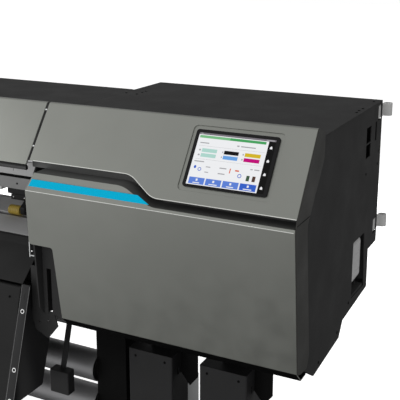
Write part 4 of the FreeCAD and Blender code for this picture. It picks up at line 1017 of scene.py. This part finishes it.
def stand_details():
    """Bolts of the legs, and the nuts, brakes and hubs of the casters."""
    bolts = Kit("stand_bolts", "machine", "screw_black", "frame_black")
    for middle, side in LEGS:
        for d in (760, 690, 120, 50):
            for dx in (-0.04, 0.04):
                bolts.screw((middle + dx, ahead(d), 0.150), UP, 6 * MM)
        for dx in (-0.052, 0.052):
            for offset in (-0.138, 0.112):
                x = middle + side * offset + dx
                for z in (0.735, 0.175):
                    bolts.screw((x, ahead(500), z), FORWARD, 4 * MM)
    bolts.done()
    for name in ("front_right", "rear_right", "front_left", "rear_left"):
        low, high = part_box(f"caster_wheel_{name}")
        x, y, z = [(a + b) / 2 for a, b in zip(low, high)]
        nuts = Kit(f"caster_nuts_{name}", f"fork_{name}", "zinc", "steel")
        for side in (-1, 1):
            nuts.rod((x + side * 0.0202, y, z), (x + side * 0.0262, y, z), 6.5 * MM, 6)
        nuts.done(0.3 * MM)
        lever = Kit(f"caster_brake_{name}", f"fork_{name}", "black_plastic", "black_plastic")
        section = ((0.020, 0.0835), (0.052, 0.0725), (0.054, 0.0765), (0.022, 0.0875))
        lever.prism([(x - 0.014, y + back, up) for back, up in section], (0.028, 0, 0))
        lever.done(0.6 * MM)
        hub = Kit(f"caster_hub_{name}", f"wheel_{name}", "grey_plastic", "grey_plastic")
        for start in (-0.0152 - 0.0012, 0.0152):
            hub.ring((x + start, y, z), ACROSS, 24 * MM, 9 * MM, 1.2 * MM, 36)
        hub.done(0.3 * MM)


# node, body, Y and Z of the axis, how far in from each end its ribs are, and their outer radius
FLANGES = (
    ("takeup_shaft", "takeup", ahead(650), 0.33, 0.0485, 0.054),
    ("supply_shaft", "supply", ahead(90), 0.56, 0.0592, 0.100),
)
RIB_INNER = 0.040
RIB_COUNT = 8


def shaft_details():
    """Switch and lamp of the take-up, and ribs on the flanges of both shafts."""
    switch = Kit("takeup_switch", "machine", "black_plastic", "black_plastic")
    _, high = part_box("takeup_shaft")
    x = high[0] + 0.001
    switch.block((x + 0.012, x + 0.044), aheads(702.5, 699.8), mm(320, 350))
    switch.done(0.8 * MM)
    lamp = Kit("takeup_lamp", "machine", "lamp_green", "light_plastic")
    lamp.rod((x + 0.028, ahead(699.9), 0.304), (x + 0.028, ahead(701.6), 0.304), 2.2 * MM, 16)
    lamp.done()
    for node, body, y, z, inset, outer in FLANGES:
        low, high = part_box(node)
        ribs = Kit(f"{body}_flange_ribs", body, "grey_plastic", "grey_plastic")
        for x in (low[0] + inset, high[0] - inset):
            for i in range(RIB_COUNT):
                t = 2 * math.pi * i / RIB_COUNT
                dy, dz = math.cos(t), math.sin(t)
                start, end = ((x, y + dy * r, z + dz * r) for r in (RIB_INNER, outer))
                ribs.rod(start, end, 1.6 * MM, 8)
        ribs.done()


def carriage_details():
    """Ribs, screws, cap foams, a plate and collars on the moving units."""
    kit = Kit("carriage_ribs", "print_head_carriage", "grey_plastic", "black_plastic")
    for x in row(0.985, 0.0625, 5):
        kit.block(around(x, 0.002), aheads(641.2, 639.5), mm(1190, 1370))
    kit.done(0.5 * MM)
    screws = Kit("carriage_screws", "print_head_carriage", "zinc", "steel")
    for x in mm(975, 1245):
        for z in mm(1175, 1385):
            screws.screw((x, ahead(640), z), FORWARD, 3.4 * MM)
    screws.done()
    foams = Kit("cap_foams", "capping", "foam", "grey_plastic")
    for x in row(1.005, 0.075, 3):
        foams.block((x + 0.0045, x + 0.0555), aheads(618.5, 516.5), mm(1118, 1122))
    foams.done(0.6 * MM)
    grip = Kit("cutter_carriage_plate", "cutting_carriage", "plate_silver", "steel")
    grip.block(mm(-1385, -1315), aheads(561, 559.8), mm(1328, 1372))
    grip.done(0.4 * MM)
    collar = Kit("blade_collar", "blade", "zinc", "steel")
    for z in mm(1337, 1341, 1345):
        collar.ring((-1.35, ahead(592), z), UP, 17.4 * MM, 16.6 * MM, 1.6 * MM, 36)
    collar.done()


def details():
    display()
    cover_gaps()
    hem_highlight_strip()
    fascia_crease_highlights()
    beam_screws()
    pinch_details()
    notch_bits()
    dryer_details()
    rear_screws()
    side_seams()
    louvres()
    fan()
    sockets()
    bottle_details()
    tray_details()
    stand_details()
    shaft_details()
    carriage_details()
    feed_details()


details()


# --- stage, light and camera -----------------------------------------------------------
FLOOR_HALF = 30.0
# the light dome as (height from 0 below to 1 above, level); 0.5 is the horizon
DOME = (
    (0.08, 0.02), (0.17, 0.06), (0.215, 0.30), (0.265, 0.86), (0.34, 1.20), (0.46, 1.0),
    (0.62, 0.75), (0.80, 0.80), (0.92, 0.95), (1.0, 0.6),
)
# what the dome is multiplied by on each side
FRONT_LEVEL, REAR_LEVEL = 1.0, 0.40
LEFT_LEVEL, RIGHT_LEVEL = 1.35, 0.75
FRAME_PIXELS = 400.0
FOCAL_PIXELS = 803.78
SENSOR_WIDTH = 36.0
CAMERA_PLACE = (2.1319, -2.0738, 1.9610)
CAMERA_YAW = 26.814
CAMERA_PITCH = 13.24  # degrees below the level
CAMERA_SHIFT = -0.14


def grey(level, alpha=1):
    return level, level, level, alpha


def stage():
    """A pale floor that glows a little, so that it meets the backdrop with no edge."""
    h = FLOOR_HALF
    mesh = bpy.data.meshes.new("studio_floor")
    mesh.from_pydata([(-h, -h, 0), (h, -h, 0), (h, h, 0), (-h, h, 0)], [], [(0, 1, 2, 3)])
    floor = link(bpy.data.objects.new("studio_floor", mesh))
    mat, tree, shader, place = blank("studio_paper")
    fibre = spread(tree, noise(tree, place, scale=40.0, detail=5.0), 0, 1)
    paper = tint(tree, fibre, (0.90, 0.90, 0.90), (0.93, 0.93, 0.93))
    tree.links.new(paper, shader.inputs["Base Color"])
    shader.inputs["Roughness"].default_value = 0.9
    shader.inputs["Emission Color"].default_value = grey(1)
    shader.inputs["Emission Strength"].default_value = 0.5
    mesh.materials.append(mat)
    floor.visible_diffuse = False
    floor.visible_glossy = False


def area_light(name, place, target, size, power, glossy=True):
    data = bpy.data.lights.new(name, "AREA")
    data.shape = "RECTANGLE"
    data.size, data.size_y = size
    data.energy = power
    lamp = link(bpy.data.objects.new(name, data))
    lamp.location = place
    lamp.rotation_euler = (Vector(target) - Vector(place)).to_track_quat("-Z", "Y").to_euler()
    lamp.visible_glossy = glossy


def studio_air():
    """Pale backdrop to the camera; a soft dome, bright above and dim below, for the light."""
    world = bpy.data.worlds.new("studio_air")
    world.use_nodes = True
    tree = world.node_tree
    out = tree.nodes["World Output"]
    backdrop = tree.nodes["Background"]
    backdrop.inputs["Color"].default_value = grey(1)
    backdrop.inputs["Strength"].default_value = 1.0
    dome = tree.nodes.new("ShaderNodeBackground")
    place = tree.nodes.new("ShaderNodeTexCoord")
    split = tree.nodes.new("ShaderNodeSeparateXYZ")
    ramp = tree.nodes.new("ShaderNodeValToRGB")
    height = spread(tree, split.outputs["Z"], 0, 1, -1.0, 1.0)
    tree.links.new(place.outputs["Generated"], split.inputs["Vector"])
    tree.links.new(height, ramp.inputs["Fac"])
    stops = ramp.color_ramp.elements
    for stop, (position, level) in zip(stops, (DOME[0], DOME[-1])):
        stop.position, stop.color = position, grey(level)
    for position, level in DOME[1:-1]:
        stops.new(position).color = grey(level)
    tree.links.new(ramp.outputs["Color"], dome.inputs["Color"])
    by_depth = spread(tree, split.outputs["Y"], FRONT_LEVEL, REAR_LEVEL, -0.2, 0.6)
    by_side = spread(tree, split.outputs["X"], LEFT_LEVEL, RIGHT_LEVEL, -1.0, 1.0)
    strength = tree.nodes.new("ShaderNodeMath")
    strength.operation = "MULTIPLY"
    tree.links.new(by_depth, strength.inputs[0])
    tree.links.new(by_side, strength.inputs[1])
    tree.links.new(strength.outputs["Value"], dome.inputs["Strength"])
    path = tree.nodes.new("ShaderNodeLightPath")
    mix = tree.nodes.new("ShaderNodeMixShader")
    tree.links.new(path.outputs["Is Camera Ray"], mix.inputs["Fac"])
    tree.links.new(dome.outputs["Background"], mix.inputs[1])
    tree.links.new(backdrop.outputs["Background"], mix.inputs[2])
    tree.links.new(mix.outputs["Shader"], out.inputs["Surface"])
    bpy.context.scene.world = world


def lights():
    studio_air()
    area_light("left_box", place=(-3.6, -2.2, 3.6), target=(0.0, -0.3, 1.4),
               size=(2.4, 2.0), power=40)
    area_light("front_box", place=(1.6, -4.6, 2.6), target=(0.9, 0.0, 1.3),
               size=(3.0, 2.0), power=25)
    area_light("rear_box", place=(-1.0, 4.4, 1.5), target=(0.0, 0.3, 0.9),
               size=(4.0, 2.0), power=130, glossy=False)


def camera():
    data = bpy.data.cameras.new("camera")
    data.lens = SENSOR_WIDTH * FOCAL_PIXELS / FRAME_PIXELS
    data.sensor_width = SENSOR_WIDTH
    data.shift_y = CAMERA_SHIFT
    data.clip_start = 0.05
    data.clip_end = 200.0
    cam = link(bpy.data.objects.new("camera", data))
    cam.location = CAMERA_PLACE
    cam.rotation_euler = (math.radians(90 - CAMERA_PITCH), 0, math.radians(CAMERA_YAW))
    bpy.context.scene.camera = cam


stage()
lights()
camera()
bpy.context.scene.view_settings.view_transform = "Standard"
